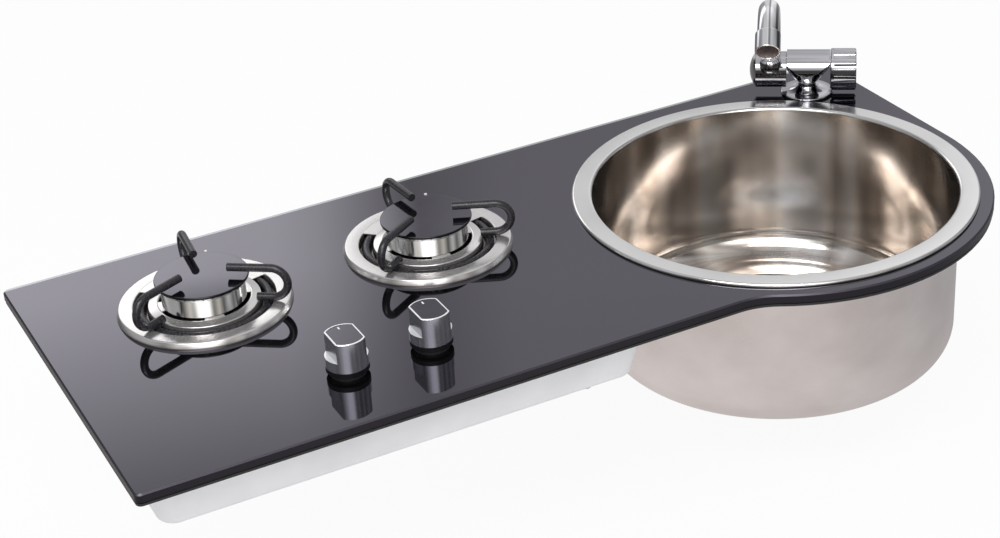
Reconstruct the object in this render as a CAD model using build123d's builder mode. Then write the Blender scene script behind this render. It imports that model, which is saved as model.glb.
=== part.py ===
"""Drop-in glass panel with two gas burners, a round bowl and a folding tap.

Frame: +X runs from the hob to the bowl, +Y to the rear, +Z up. The origin lies on the
underside of the foam seal, on its cross strip between the hob tray and the bowl.
"""

import os
from math import acos, cos, degrees, pi, radians, sin, sqrt

from build123d import *

os.makedirs("parts", exist_ok=True)

# ---------------------------------------------------------------- driving dimensions (mm)
# Glass panel
panel_length = 775.0
overall_depth = 365.0  # over the round end
front_step = 35.0  # of the round end in front of the straight front edge
rear_step = 11.0  # of the straight rear edge behind the round end
rim_margin = 11.0  # glass left round the bowl's flange
bowl_gap = 24.0  # from the seal's cross strip to the bowl's wall
glass_thickness = 8.0
glass_arris = 1.2  # ground edge, top and bottom
panel_corner = 5.0
blend_radius = 55.0  # hollow blend from the straight front into the round end

seal_thickness = 2.0  # foam strip under the panel's edge, and across it beside the tray
seal_width = 4.2
seal_inset = 0.6

# Bowl
rim_width = 17.0  # flange, from the inside of the bowl to its outer edge
bowl_draft = 0.7  # how much narrower the inside is above the floor radius
bowl_depth = 142.0  # rim top to the flat of the floor, inside
bowl_sheet = 1.0
bowl_floor_fillet = 24.0  # inside
bowl_hole_play = 3.0  # round the bowl in the glass
rim_height = 3.0  # top of the flange above the glass
rim_edge_round = 1.9
rim_lip_round = 3.0
gasket_thickness = 0.8
gasket_width = 11.0
floor_width = 45.0  # from the wall to the lowered middle of the floor
floor_step_round = 3.0
dish_round = 4.0
dish_drop = 2.5
dish_fall = 3.0  # further fall from the dish's edge to the waste

# Waste
waste_seat_radius = 38.0
waste_seat_depth = 4.0
waste_edge_round = 3.0
waste_seat_round = 1.5
waste_hole_radius = 26.0
waste_bore = 21.0
waste_flange_radius = 35.5
waste_flange_sheet = 1.2
waste_cup_depth = 9.0
drain_slots = 8
drain_slot_length = 8.0
drain_slot_width = 3.4
waste_gasket_width = 6.0
waste_gasket_thickness = 2.0
waste_body_radius = 33.0
waste_body_wall = 2.5
waste_body_depth = 16.0
waste_tail_radius = 12.5  # hose tail, outside
waste_tail_wall = 2.0
waste_tail_length = 30.0
plug_radius = 20.6
plug_height = 7.0
plug_taper = 1.2
plug_grip_foot = 5.0
plug_grip_waist = 3.2
plug_grip_radius = 5.2
plug_grip_top = 4.0
plug_grip_rise = 2.0  # each step of the grip's outline

# Burners
burner_rear_gaps = (111.0, 119.0)  # from the centres to the rear edge
burner_spacing = (62.0, 50.0, 40.0)  # shares of the free length beside the drip rings
first_arm_angles = (-156.0, -146.0)  # one of each pan support's three arms
burner_hole_radius = 60.5  # in the glass
drip_radius = 68.0  # foot of the skirt, on the glass
drip_top_radius = 66.3
drip_height = 5.0  # top of the plate above the glass
drip_sheet = 0.8
drip_foot = 1.0  # plain foot of the skirt
drip_lip = 3.5  # inner edge of the plate, turned down
drip_skirt_round = 1.2
drip_edge_round = 1.6
island_round = 1.4
groove_outer = 55.0
groove_inner = 43.5
island_radius = 35.2  # inner edge of the plate, round the burner cup
tongue_start = 12.0  # degrees, rear tongue that holds the wire ring down
tongue_end = 136.0
tongue_notch = 4.5  # radius, for the rear arm's foot
cup_radius = 32.5
cup_wall = 1.0
cup_round = 3.0
cup_top = 21.0  # above the glass
cup_depth = 22.0  # below the glass top
lug_count = 4  # lugs of the drip ring that centre it on the cup
lug_width = 15.0
lug_angle = -97.0
rest_gap = 0.2  # play of the wire ring in its groove
head_radius = 33.6
head_height = 2.8
port_count = 30
port_width = 1.6
cap_radius = 36.5
cap_thickness = 2.4
cap_edge_round = 0.9
cap_rib = 2.0
head_spigot = 6.0
head_bore = 24.0
port_depth = 1.8

wire_radius = 3.2  # pan support wire
wire_ring_radius = 49.5
wire_ring_level = 0.8  # its centre line above the glass
arm_reach = 67.5  # centre line of the loop's outermost point
arm_loop_radius = 12.5
arm_tip_radius = 21.5
arm_foot_radius = 42.5
weld_length = 4.6  # block under each arm's foot, along the arm
weld_width = 5.6
pan_height = 36.7  # top of the arms above the glass

electrode_angle = 65.0
probe_angle = 112.0
post_circle = 39.4  # both stand on this radius
electrode_radius = 2.4
electrode_top = 26.0
electrode_pin = 3.0
electrode_pin_radius = 1.2
probe_radius = 1.9
probe_top = 20.0
probe_round = 1.5
post_clearance = 0.6

# Hob tray
tray_left_gap = 12.0  # from the panel's left edge
tray_front_gap = 9.5
tray_rear_gap = 15.0
tray_right = -22.0
tray_depth = 38.0
tray_draft = 8.0  # each wall leans in by this much
tray_sheet = 1.0
tray_flange = 4.5
tray_corner = 14.0
tray_round = 5.0  # inside, wall to floor
vent_rows = 5
vent_pitch = 12.0
vent_length = 22.0
vent_width = 4.0
inlet_play = 1.5

# Knobs and valves
knob_front_gap = 68.0  # from the knobs' line to the front edge
knob_offset = -5.0  # of the pair from the middle between the burners
knob_pitch = 67.0
knob_top_radius = 15.8
knob_base_radius = 16.1
knob_top = 31.5  # above the glass
knob_barrel_height = 24.0
knob_flat = 11.6  # half the distance between the flats
knob_flat_depth = 15.7
knob_wall = 1.5
knob_insert_depth = 1.2
knob_edge = 0.9
knob_crown = 4.0  # solid above the stem
hub_radius = 7.0
insert_recess = 0.2
stem_grip = 8.0  # inside the valve
seal_bore_play = 0.3
knob_travel = 3.0
knob_lift_gap = 0.5  # left under the collar and the barrel when the knob is pressed home
stem_radius = 4.0
stem_clearance = 0.05
seal_ring_radius = 13.2
seal_ring_edge = 1.0
stem_edge = 0.5
collar_inner = 13.6
glass_stem_hole = 7.0
valve_length = 30.0
valve_width = 24.0
valve_height = 24.0
valve_corner = 3.0
valve_drop = 8.0  # its top under the glass
valve_boss_radius = 9.0
valve_boss_gap = 1.0  # under the glass

# Gas pipework
pipe_drop = 22.0  # centre lines below the glass
pipe_wall = 1.0
manifold_radius = 4.0
valve_spigot_radius = 5.0
valve_spigot_length = 6.0
manifold_start_gap = 22.5  # before the first knob
manifold_turn_gap = 38.0  # from the tray's right wall
manifold_bend = 14.0
inlet_tail = 14.0  # below the tray
feed_radius = 3.0
feed_bend = 12.0
base_radius = 22.0
base_plate_radius = 44.0
base_plate_thickness = 2.0
base_boss_radius = 5.5
base_boss_reach = 34.0
base_bore = 9.0
mixing_bore = 3.6
injector_length = 10.0
injector_across = 8.0
injector_nose = 2.0
feed_turn = -36.0  # the pipes run across at this depth

# Tap
tap_bearing = 47.857  # degrees, from the bowl's centre to the tap
tap_rim_gap = 2.51  # between its foot and the bowl's flange
tap_turn = -34.7  # degrees, the barrel's direction seen from above
tap_axis_height = 22.0  # above the glass
tap_foot_radius = 23.0
tap_foot_height = 2.4
tap_waist_radius = 7.0  # where the body stands on its foot
saddle_radius = 27.5  # the body's cone at the top of the barrel
foot_edge = 0.8
barrel_radius = 17.6
barrel_left = 17.8  # from the foot's centre to the elbow
barrel_right = 20.2  # from the foot's centre to the handle
tap_gap = 0.3  # between the turning pieces and the barrel
elbow_radius = 15.9
elbow_length = 32.6
elbow_dome = 5.5
pivot_radius = 8.0
pivot_clearance = 0.05
pivot_length = 14.0
spout_offset = 14.4  # from the elbow's inner face to the tube's centre line
spout_tube_radius = 9.2
spout_wall = 1.2
spout_riser = 24.0
spout_arch_radius = 48.5
spout_dip = 32.0  # degrees below level at the outlet
nozzle_radius = 10.9
nozzle_length = 18.5
nozzle_wall = 1.4
nozzle_chamfer = 1.2
nozzle_back = 3.5  # thick end of the nozzle on the tube
knuckle_radius = 10.0  # ball on the elbow's upper front
knuckle_forward = 9.0
knuckle_rise = 7.5
socket_floor = 8.0  # the tube stands in the elbow from here
handle_radius = 18.6
handle_length = 22.6
handle_flutes = 12
flute_depth = 0.9
flute_radius = 4.6
handle_shoulder = 3.0  # plain band beside the barrel
handle_edge = 1.0
handle_cap_radius = 10.0
handle_cap_depth = 1.0
spindle_radius = 5.0
spindle_length = 12.0
water_bore = 3.5
tail_radius = 8.0
tail_length = 42.0
water_tail_radius = 6.0
water_tail_length = 22.0
nut_across = 30.0
nut_height = 6.0
tap_gasket_thickness = 0.6
tap_washer_thickness = 1.5
tap_washer_margin = 3.0  # round the nut
tap_hole_radius = 9.5

# Panel clamps and bowl brackets
clamp_end_gaps = (82.0, 88.0)  # from the tray's ends
clamp_block = 14.0
clamp_block_seat = 2.0  # in the tray's rear wall
clamp_block_reach = 8.0
clamp_screw_reach = 3.0
clamp_block_height = 8.0
clamp_arm_length = 34.0
clamp_arm_width = 12.0
clamp_sheet = 2.0
clamp_drop = 28.0  # arm below the glass
bracket_count = 6
bracket_width = 16.0
bracket_height = 12.0
bracket_reach = 12.0
bracket_sheet = 1.5
bracket_drop = 2.0  # under the glass
screw_radius = 2.0
screw_head_radius = 3.8
screw_head_height = 2.4
screw_clearance = 0.3

# ---------------------------------------------------------------- derived places
hob_depth = overall_depth - front_step
end_radius = (overall_depth - rear_step) / 2
rim_radius = end_radius - rim_margin
bowl_radius = rim_radius - rim_width
dish_radius = bowl_radius - floor_width
bowl_outer = bowl_radius + bowl_sheet
rear_edge = hob_depth / 2
front_edge = -hob_depth / 2
glass_bottom = seal_thickness
glass_top = glass_bottom + glass_thickness
bowl_x = bowl_gap + bowl_outer
bowl_y = rear_edge - rear_step - end_radius
right_edge = bowl_x + end_radius
left_edge = right_edge - panel_length

# The hob's free length is shared out to the left of, between and to the right of its drip rings.
free_length = -left_edge - 4 * drip_radius
left_gap, middle_gap, right_gap = [
    free_length * share / sum(burner_spacing) for share in burner_spacing
]
burner_centres = (
    (left_edge + left_gap + drip_radius, rear_edge - burner_rear_gaps[0]),
    (-right_gap - drip_radius, rear_edge - burner_rear_gaps[1]),
)
knob_middle = (burner_centres[0][0] + burner_centres[1][0]) / 2 + knob_offset
knob_y = front_edge + knob_front_gap
knob_places = (
    (knob_middle - knob_pitch / 2, knob_y),
    (knob_middle + knob_pitch / 2, knob_y),
)
tap_reach = rim_radius + tap_foot_radius + tap_rim_gap
tap_x = bowl_x + tap_reach * cos(radians(tap_bearing))
tap_y = bowl_y + tap_reach * sin(radians(tap_bearing))
rim_top = glass_top + rim_height
floor_top = rim_top - bowl_depth
dish_top = floor_top - dish_drop
waste_edge_top = dish_top - dish_fall
waste_seat_top = waste_edge_top - waste_seat_depth
bowl_plane = Plane(origin=(bowl_x, bowl_y, 0), x_dir=(1, 0, 0), z_dir=(0, -1, 0))
bowl_axis = Axis((bowl_x, bowl_y, 0), (0, 0, 1))

# ---------------------------------------------------------------- glass panel and its seal
with BuildSketch() as panel_outline:
    with Locations((left_edge, rear_edge)):
        Rectangle(bowl_x - left_edge, hob_depth, align=(Align.MIN, Align.MAX))
        Rectangle(panel_length, rear_edge - bowl_y, align=(Align.MIN, Align.MAX))
    with Locations((bowl_x, bowl_y)):
        Circle(end_radius)
    blend_x = bowl_x - sqrt(end_radius**2 - (bowl_y - front_edge) ** 2)
    fillet(panel_outline.vertices().sort_by_distance((blend_x, front_edge))[0], blend_radius)
    left_corners = panel_outline.vertices().group_by(Axis.X)[0]
    rear_right = panel_outline.vertices().sort_by_distance((right_edge, rear_edge))[0]
    fillet([*left_corners, rear_right], panel_corner)

tap_direction = Vector(cos(radians(tap_turn)), sin(radians(tap_turn)), 0)
spout_direction = Vector(sin(radians(tap_turn)), -cos(radians(tap_turn)), 0)

with BuildPart() as glass_panel:
    with BuildSketch(Plane.XY.offset(glass_bottom)):
        add(panel_outline.sketch)
    extrude(amount=glass_thickness)
    top_rim = glass_panel.faces().sort_by(Axis.Z)[-1].edges()
    bottom_rim = glass_panel.faces().sort_by(Axis.Z)[0].edges()
    chamfer([*top_rim, *bottom_rim], glass_arris)
    with BuildSketch(Plane.XY.offset(glass_bottom)):
        with Locations((bowl_x, bowl_y)):
            Circle(bowl_outer + bowl_hole_play)
        with Locations(*burner_centres):
            Circle(burner_hole_radius)
        with Locations(*knob_places):
            Circle(glass_stem_hole)
        with Locations((tap_x, tap_y)):
            Circle(tap_hole_radius)
    extrude(amount=glass_thickness, mode=Mode.SUBTRACT)
glass_panel.part.label = "glass_panel"
export_step(glass_panel.part, "parts/glass_panel.step")

with BuildPart() as panel_seal:
    with BuildSketch():
        offset(panel_outline.sketch, amount=-seal_inset)
        offset(panel_outline.sketch, amount=-seal_inset - seal_width, mode=Mode.SUBTRACT)
        Rectangle(seal_width, hob_depth - 2 * seal_inset - seal_width)
    extrude(amount=seal_thickness)
panel_seal.part.label = "panel_seal"
export_step(panel_seal.part, "parts/panel_seal.step")

# ---------------------------------------------------------------- bowl
with BuildPart() as sink_bowl:
    with BuildSketch(bowl_plane):
        with BuildLine():
            FilletPolyline(
                (rim_radius, glass_top + gasket_thickness),
                (rim_radius, rim_top),
                (bowl_radius, rim_top),
                (bowl_radius - bowl_draft, floor_top),
                (dish_radius, floor_top),
                (dish_radius - 2 * dish_drop, dish_top),
                (waste_seat_radius + waste_seat_depth, waste_edge_top),
                (waste_seat_radius, waste_seat_top),
                (waste_hole_radius, waste_seat_top),
                radius=[
                    rim_edge_round, rim_lip_round, bowl_floor_fillet, floor_step_round,
                    dish_round, waste_edge_round, waste_seat_round,
                ],
            )
            offset(amount=bowl_sheet, side=Side.LEFT)
        make_face()
    revolve(axis=bowl_axis)
sink_bowl.part.label = "sink_bowl"
export_step(sink_bowl.part, "parts/sink_bowl.step")

# The gasket fills the flange and shows as a thin line under its turned-down edge.
with BuildPart() as sink_gasket:
    with BuildSketch(bowl_plane):
        with BuildLine():
            Polyline(
                (rim_radius - bowl_sheet - gasket_width, glass_top),
                (rim_radius - rest_gap, glass_top),
                (rim_radius - rest_gap, glass_top + gasket_thickness),
                (rim_radius - bowl_sheet - rest_gap, glass_top + gasket_thickness),
                (rim_radius - 2 * bowl_sheet, rim_top - bowl_sheet),
                (rim_radius - bowl_sheet - gasket_width, rim_top - bowl_sheet),
                close=True,
            )
        make_face()
    revolve(axis=bowl_axis)
sink_gasket.part.label = "sink_gasket"
export_step(sink_gasket.part, "parts/sink_gasket.step")

# Six angle brackets stand off the bowl's wall; their screws bear on the glass from below.
bracket_top = glass_bottom - bracket_drop
bracket_angles = [30 + turn * 360 / bracket_count for turn in range(bracket_count)]
with BuildPart() as bowl_brackets:
    for angle in bracket_angles:
        outward = Vector(cos(radians(angle)), sin(radians(angle)), 0)
        bracket_plane = Plane(
            origin=Vector(bowl_x, bowl_y, 0) + outward * bowl_outer,
            x_dir=outward,
            z_dir=outward.cross(Vector(0, 0, 1)),
        )
        with BuildSketch(bracket_plane):
            with BuildLine():
                Polyline(
                    (0, bracket_top),
                    (bracket_reach, bracket_top),
                    (bracket_reach, bracket_top - bracket_sheet),
                    (bracket_sheet, bracket_top - bracket_sheet),
                    (bracket_sheet, bracket_top - bracket_height),
                    (0, bracket_top - bracket_height),
                    close=True,
                )
            make_face()
        extrude(amount=bracket_width / 2, both=True)
    with BuildSketch(Plane.XY.offset(bracket_top)):
        with Locations((bowl_x, bowl_y)):
            with PolarLocations(bowl_outer + bracket_reach / 2, bracket_count, start_angle=30):
                Circle(screw_radius + stem_clearance)
    extrude(amount=-bracket_sheet, mode=Mode.SUBTRACT)
bowl_brackets.part.label = "bowl_brackets"
export_step(bowl_brackets.part, "parts/bowl_brackets.step")

with BuildPart() as bowl_screws:
    for radius, low, high in (
        (screw_radius, bracket_top - bracket_height / 2, glass_bottom),
        (screw_head_radius, bracket_top - bracket_height / 2 - screw_head_height,
         bracket_top - bracket_height / 2),
    ):
        with BuildSketch(Plane.XY.offset(low)):
            with Locations((bowl_x, bowl_y)):
                with PolarLocations(bowl_outer + bracket_reach / 2, bracket_count, start_angle=30):
                    Circle(radius)
        extrude(amount=high - low)
bowl_screws.part.label = "bowl_screws"
export_step(bowl_screws.part, "parts/bowl_screws.step")

# ---------------------------------------------------------------- waste
waste_cup_floor = waste_seat_top - waste_cup_depth
with BuildPart() as waste_flange:
    with BuildSketch(bowl_plane):
        with BuildLine():
            Polyline(
                (waste_flange_radius, waste_seat_top + waste_flange_sheet),
                (waste_bore, waste_seat_top + waste_flange_sheet),
                (waste_bore - waste_flange_sheet, waste_cup_floor),
                (0, waste_cup_floor),
            )
            offset(amount=waste_flange_sheet, side=Side.LEFT)
        make_face()
    revolve(axis=bowl_axis)
    with BuildSketch(Plane.XY.offset(waste_cup_floor)):
        with Locations((bowl_x, bowl_y)):
            Circle(screw_radius + stem_clearance)
            with PolarLocations(waste_bore / 2, drain_slots):
                SlotOverall(drain_slot_length, drain_slot_width)
    extrude(amount=-2 * waste_flange_sheet, mode=Mode.SUBTRACT)
waste_flange.part.label = "waste_flange"
export_step(waste_flange.part, "parts/waste_flange.step")

waste_gasket_top = waste_seat_top - bowl_sheet
waste_body_top = waste_gasket_top - waste_gasket_thickness
waste_body_floor = waste_body_top - waste_body_depth
with BuildPart() as waste_gasket:
    with BuildSketch(Plane.XY.offset(waste_body_top)):
        with Locations((bowl_x, bowl_y)):
            Circle(waste_body_radius)
            Circle(waste_body_radius - waste_gasket_width, mode=Mode.SUBTRACT)
    extrude(amount=waste_gasket_thickness)
waste_gasket.part.label = "waste_gasket"
export_step(waste_gasket.part, "parts/waste_gasket.step")

# Plastic waste body: a cup with two ribs that carry the screw's boss over the hose tail.
with BuildPart() as waste_body:
    with BuildSketch(bowl_plane):
        with BuildLine():
            Polyline(
                (waste_body_radius, waste_body_top),
                (waste_body_radius, waste_body_floor),
                (waste_tail_radius, waste_body_floor - waste_body_wall),
                (waste_tail_radius, waste_body_floor - waste_tail_length),
                (waste_tail_radius - waste_tail_wall, waste_body_floor - waste_tail_length),
                (waste_tail_radius - waste_tail_wall, waste_body_floor + waste_body_wall),
                (waste_body_radius - waste_body_wall, waste_body_floor + 2 * waste_body_wall),
                (waste_body_radius - waste_body_wall, waste_body_top),
                close=True,
            )
        make_face()
    revolve(axis=bowl_axis)
    boss_top = waste_cup_floor - waste_flange_sheet - screw_clearance
    with BuildSketch(Plane.XY.offset(boss_top)):
        with Locations((bowl_x, bowl_y)):
            Circle(2 * screw_radius)
            Rectangle(2 * waste_body_radius - waste_body_wall, waste_body_wall)
    extrude(amount=waste_body_floor + waste_body_wall / 2 - boss_top)
    with BuildSketch(Plane.XY.offset(boss_top)):
        with Locations((bowl_x, bowl_y)):
            Circle(screw_radius + stem_clearance)
    extrude(amount=-waste_body_depth, mode=Mode.SUBTRACT)
waste_body.part.label = "waste_body"
export_step(waste_body.part, "parts/waste_body.step")

with BuildPart() as waste_screw:
    with BuildSketch(Plane.XY.offset(waste_cup_floor)):
        with Locations((bowl_x, bowl_y)):
            Circle(screw_head_radius)
    extrude(amount=screw_head_height / 2)
    with BuildSketch(Plane.XY.offset(waste_cup_floor)):
        with Locations((bowl_x, bowl_y)):
            Circle(screw_radius)
    extrude(amount=-waste_body_depth / 2)
waste_screw.part.label = "waste_screw"
export_step(waste_screw.part, "parts/waste_screw.step")

# Rubber plug: it stands on the screw's head and closes the cup.
plug_foot = waste_cup_floor + screw_head_height / 2 + screw_clearance
plug_top = plug_foot + plug_height
with BuildPart() as waste_plug:
    with BuildSketch(bowl_plane):
        with BuildLine():
            Polyline(
                (0, plug_foot),
                (plug_radius - plug_taper, plug_foot),
                (plug_radius, plug_top),
                (plug_grip_foot, plug_top),
                (plug_grip_waist, plug_top + plug_grip_rise),
                (plug_grip_waist, plug_top + 2.5 * plug_grip_rise),
                (plug_grip_radius, plug_top + 3.5 * plug_grip_rise),
                (plug_grip_top, plug_top + 4.5 * plug_grip_rise),
                (0, plug_top + 4.75 * plug_grip_rise),
                close=True,
            )
        make_face()
    revolve(axis=bowl_axis)
waste_plug.part.label = "waste_plug"
export_step(waste_plug.part, "parts/waste_plug.step")

# ---------------------------------------------------------------- hob tray
tray_left = left_edge + tray_left_gap
tray_front = front_edge + tray_front_gap
tray_rear = rear_edge - tray_rear_gap
tray_middle = ((tray_left + tray_right) / 2, (tray_front + tray_rear) / 2)
tray_bottom = glass_bottom - tray_depth
tray_floor = tray_bottom + tray_sheet
flange_bottom = glass_bottom - tray_sheet
clamp_level = glass_bottom - clamp_drop
clamp_places = (tray_left + clamp_end_gaps[0], tray_right - clamp_end_gaps[1])
clamp_y = tray_rear + clamp_screw_reach
manifold_start = knob_places[0][0] - manifold_start_gap
manifold_turn = tray_right - manifold_turn_gap
manifold_y = knob_y - valve_length / 2 - valve_spigot_length - manifold_radius


def tray_section(level, inset):
    """Rounded outline of the pressed tray at one level, moved in by the sheet's thickness."""
    lean = 2 * (inset + tray_draft * (glass_bottom - level) / tray_depth)
    with BuildSketch(Plane.XY.offset(level)) as section:
        with Locations(tray_middle):
            RectangleRounded(
                tray_right - tray_left - lean, tray_rear - tray_front - lean, tray_corner - inset
            )
    return section.sketch


with BuildPart() as tray_space:
    loft([tray_section(glass_bottom, tray_sheet), tray_section(tray_floor, tray_sheet)])
    fillet(tray_space.faces().sort_by(Axis.Z)[0].edges(), tray_round)

with BuildPart() as burner_tray:
    loft([tray_section(glass_bottom, 0), tray_section(tray_bottom, 0)])
    fillet(burner_tray.faces().sort_by(Axis.Z)[0].edges(), tray_round + tray_sheet)
    with BuildSketch(Plane.XY.offset(glass_bottom)):
        with Locations(tray_middle):
            RectangleRounded(
                tray_right - tray_left + 2 * tray_flange,
                tray_rear - tray_front + 2 * tray_flange,
                tray_corner + tray_flange,
            )
    extrude(amount=-tray_sheet)
    with BuildSketch(Plane.XY.offset(flange_bottom)):
        with Locations(*[(x, tray_rear - clamp_block_seat) for x in clamp_places]):
            Rectangle(
                clamp_block,
                clamp_block_seat + clamp_block_reach,
                align=(Align.CENTER, Align.MIN),
            )
    extrude(amount=-clamp_block_height)
    add(tray_space.part, mode=Mode.SUBTRACT)
    with BuildSketch(Plane.XY.offset(tray_bottom)):
        for burner_x, burner_y in burner_centres:
            with Locations((burner_x, burner_y)):
                with GridLocations(2.6 * base_radius, vent_pitch, 2, vent_rows):
                    SlotOverall(vent_length, vent_width)
        with Locations((manifold_turn, manifold_y)):
            Circle(manifold_radius + inlet_play)
    extrude(amount=2 * tray_sheet, mode=Mode.SUBTRACT)
    with BuildSketch(Plane.XY.offset(flange_bottom)):
        with Locations(*[(x, clamp_y) for x in clamp_places]):
            Circle(screw_radius + stem_clearance)
    extrude(amount=-2 * clamp_block_height, mode=Mode.SUBTRACT)
burner_tray.part.label = "burner_tray"
export_step(burner_tray.part, "parts/burner_tray.step")

# Clamps, turned parallel to the rear edge as they are before fitting.
with BuildPart() as clamp_screws:
    with BuildSketch(Plane.XY.offset(flange_bottom)):
        with Locations(*[(x, clamp_y) for x in clamp_places]):
            Circle(screw_radius)
    extrude(amount=clamp_level - clamp_sheet - flange_bottom)
    with BuildSketch(Plane.XY.offset(clamp_level - clamp_sheet)):
        with Locations(*[(x, clamp_y) for x in clamp_places]):
            RegularPolygon(screw_head_radius, 6)
    extrude(amount=-screw_head_height)
clamp_screws.part.label = "clamp_screws"
export_step(clamp_screws.part, "parts/clamp_screws.step")

with BuildPart() as clamp_arms:
    with BuildSketch(Plane.XY.offset(clamp_level)):
        with Locations(*[(x, clamp_y) for x in clamp_places]):
            with Locations((clamp_arm_length / 3, 0)):
                Rectangle(clamp_arm_length, clamp_arm_width)
            Circle(screw_radius + stem_clearance, mode=Mode.SUBTRACT)
    extrude(amount=-clamp_sheet)
    with BuildSketch(Plane.XY.offset(clamp_level)):
        with Locations(*[(x + clamp_arm_length * 5 / 6, clamp_y) for x in clamp_places]):
            Rectangle(clamp_sheet, clamp_arm_width, align=(Align.MAX, Align.CENTER))
    extrude(amount=4 * clamp_sheet)
clamp_arms.part.label = "clamp_arms"
export_step(clamp_arms.part, "parts/clamp_arms.step")

# ---------------------------------------------------------------- burners
pipe_level = glass_bottom - pipe_drop
cup_bottom = glass_top - cup_depth
base_plate_bottom = cup_bottom - base_plate_thickness
drip_top = glass_top + drip_height
wire_level = glass_top + wire_ring_level
groove_floor = wire_level - wire_radius - rest_gap
upper_leg = glass_top + pan_height - wire_radius
lower_leg = upper_leg - 2 * arm_loop_radius
loop_centre = arm_reach - arm_loop_radius
head_bottom = glass_top + cup_top
cap_bottom = head_bottom + head_height
tongue_middle = (tongue_start + tongue_end) / 2
base_bottom = tray_bottom + tray_sheet


def around(centre, radius, angle, level=0.0):
    """Point at a radius and an angle round a burner."""
    return Vector(
        centre[0] + radius * cos(radians(angle)), centre[1] + radius * sin(radians(angle)), level
    )


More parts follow.
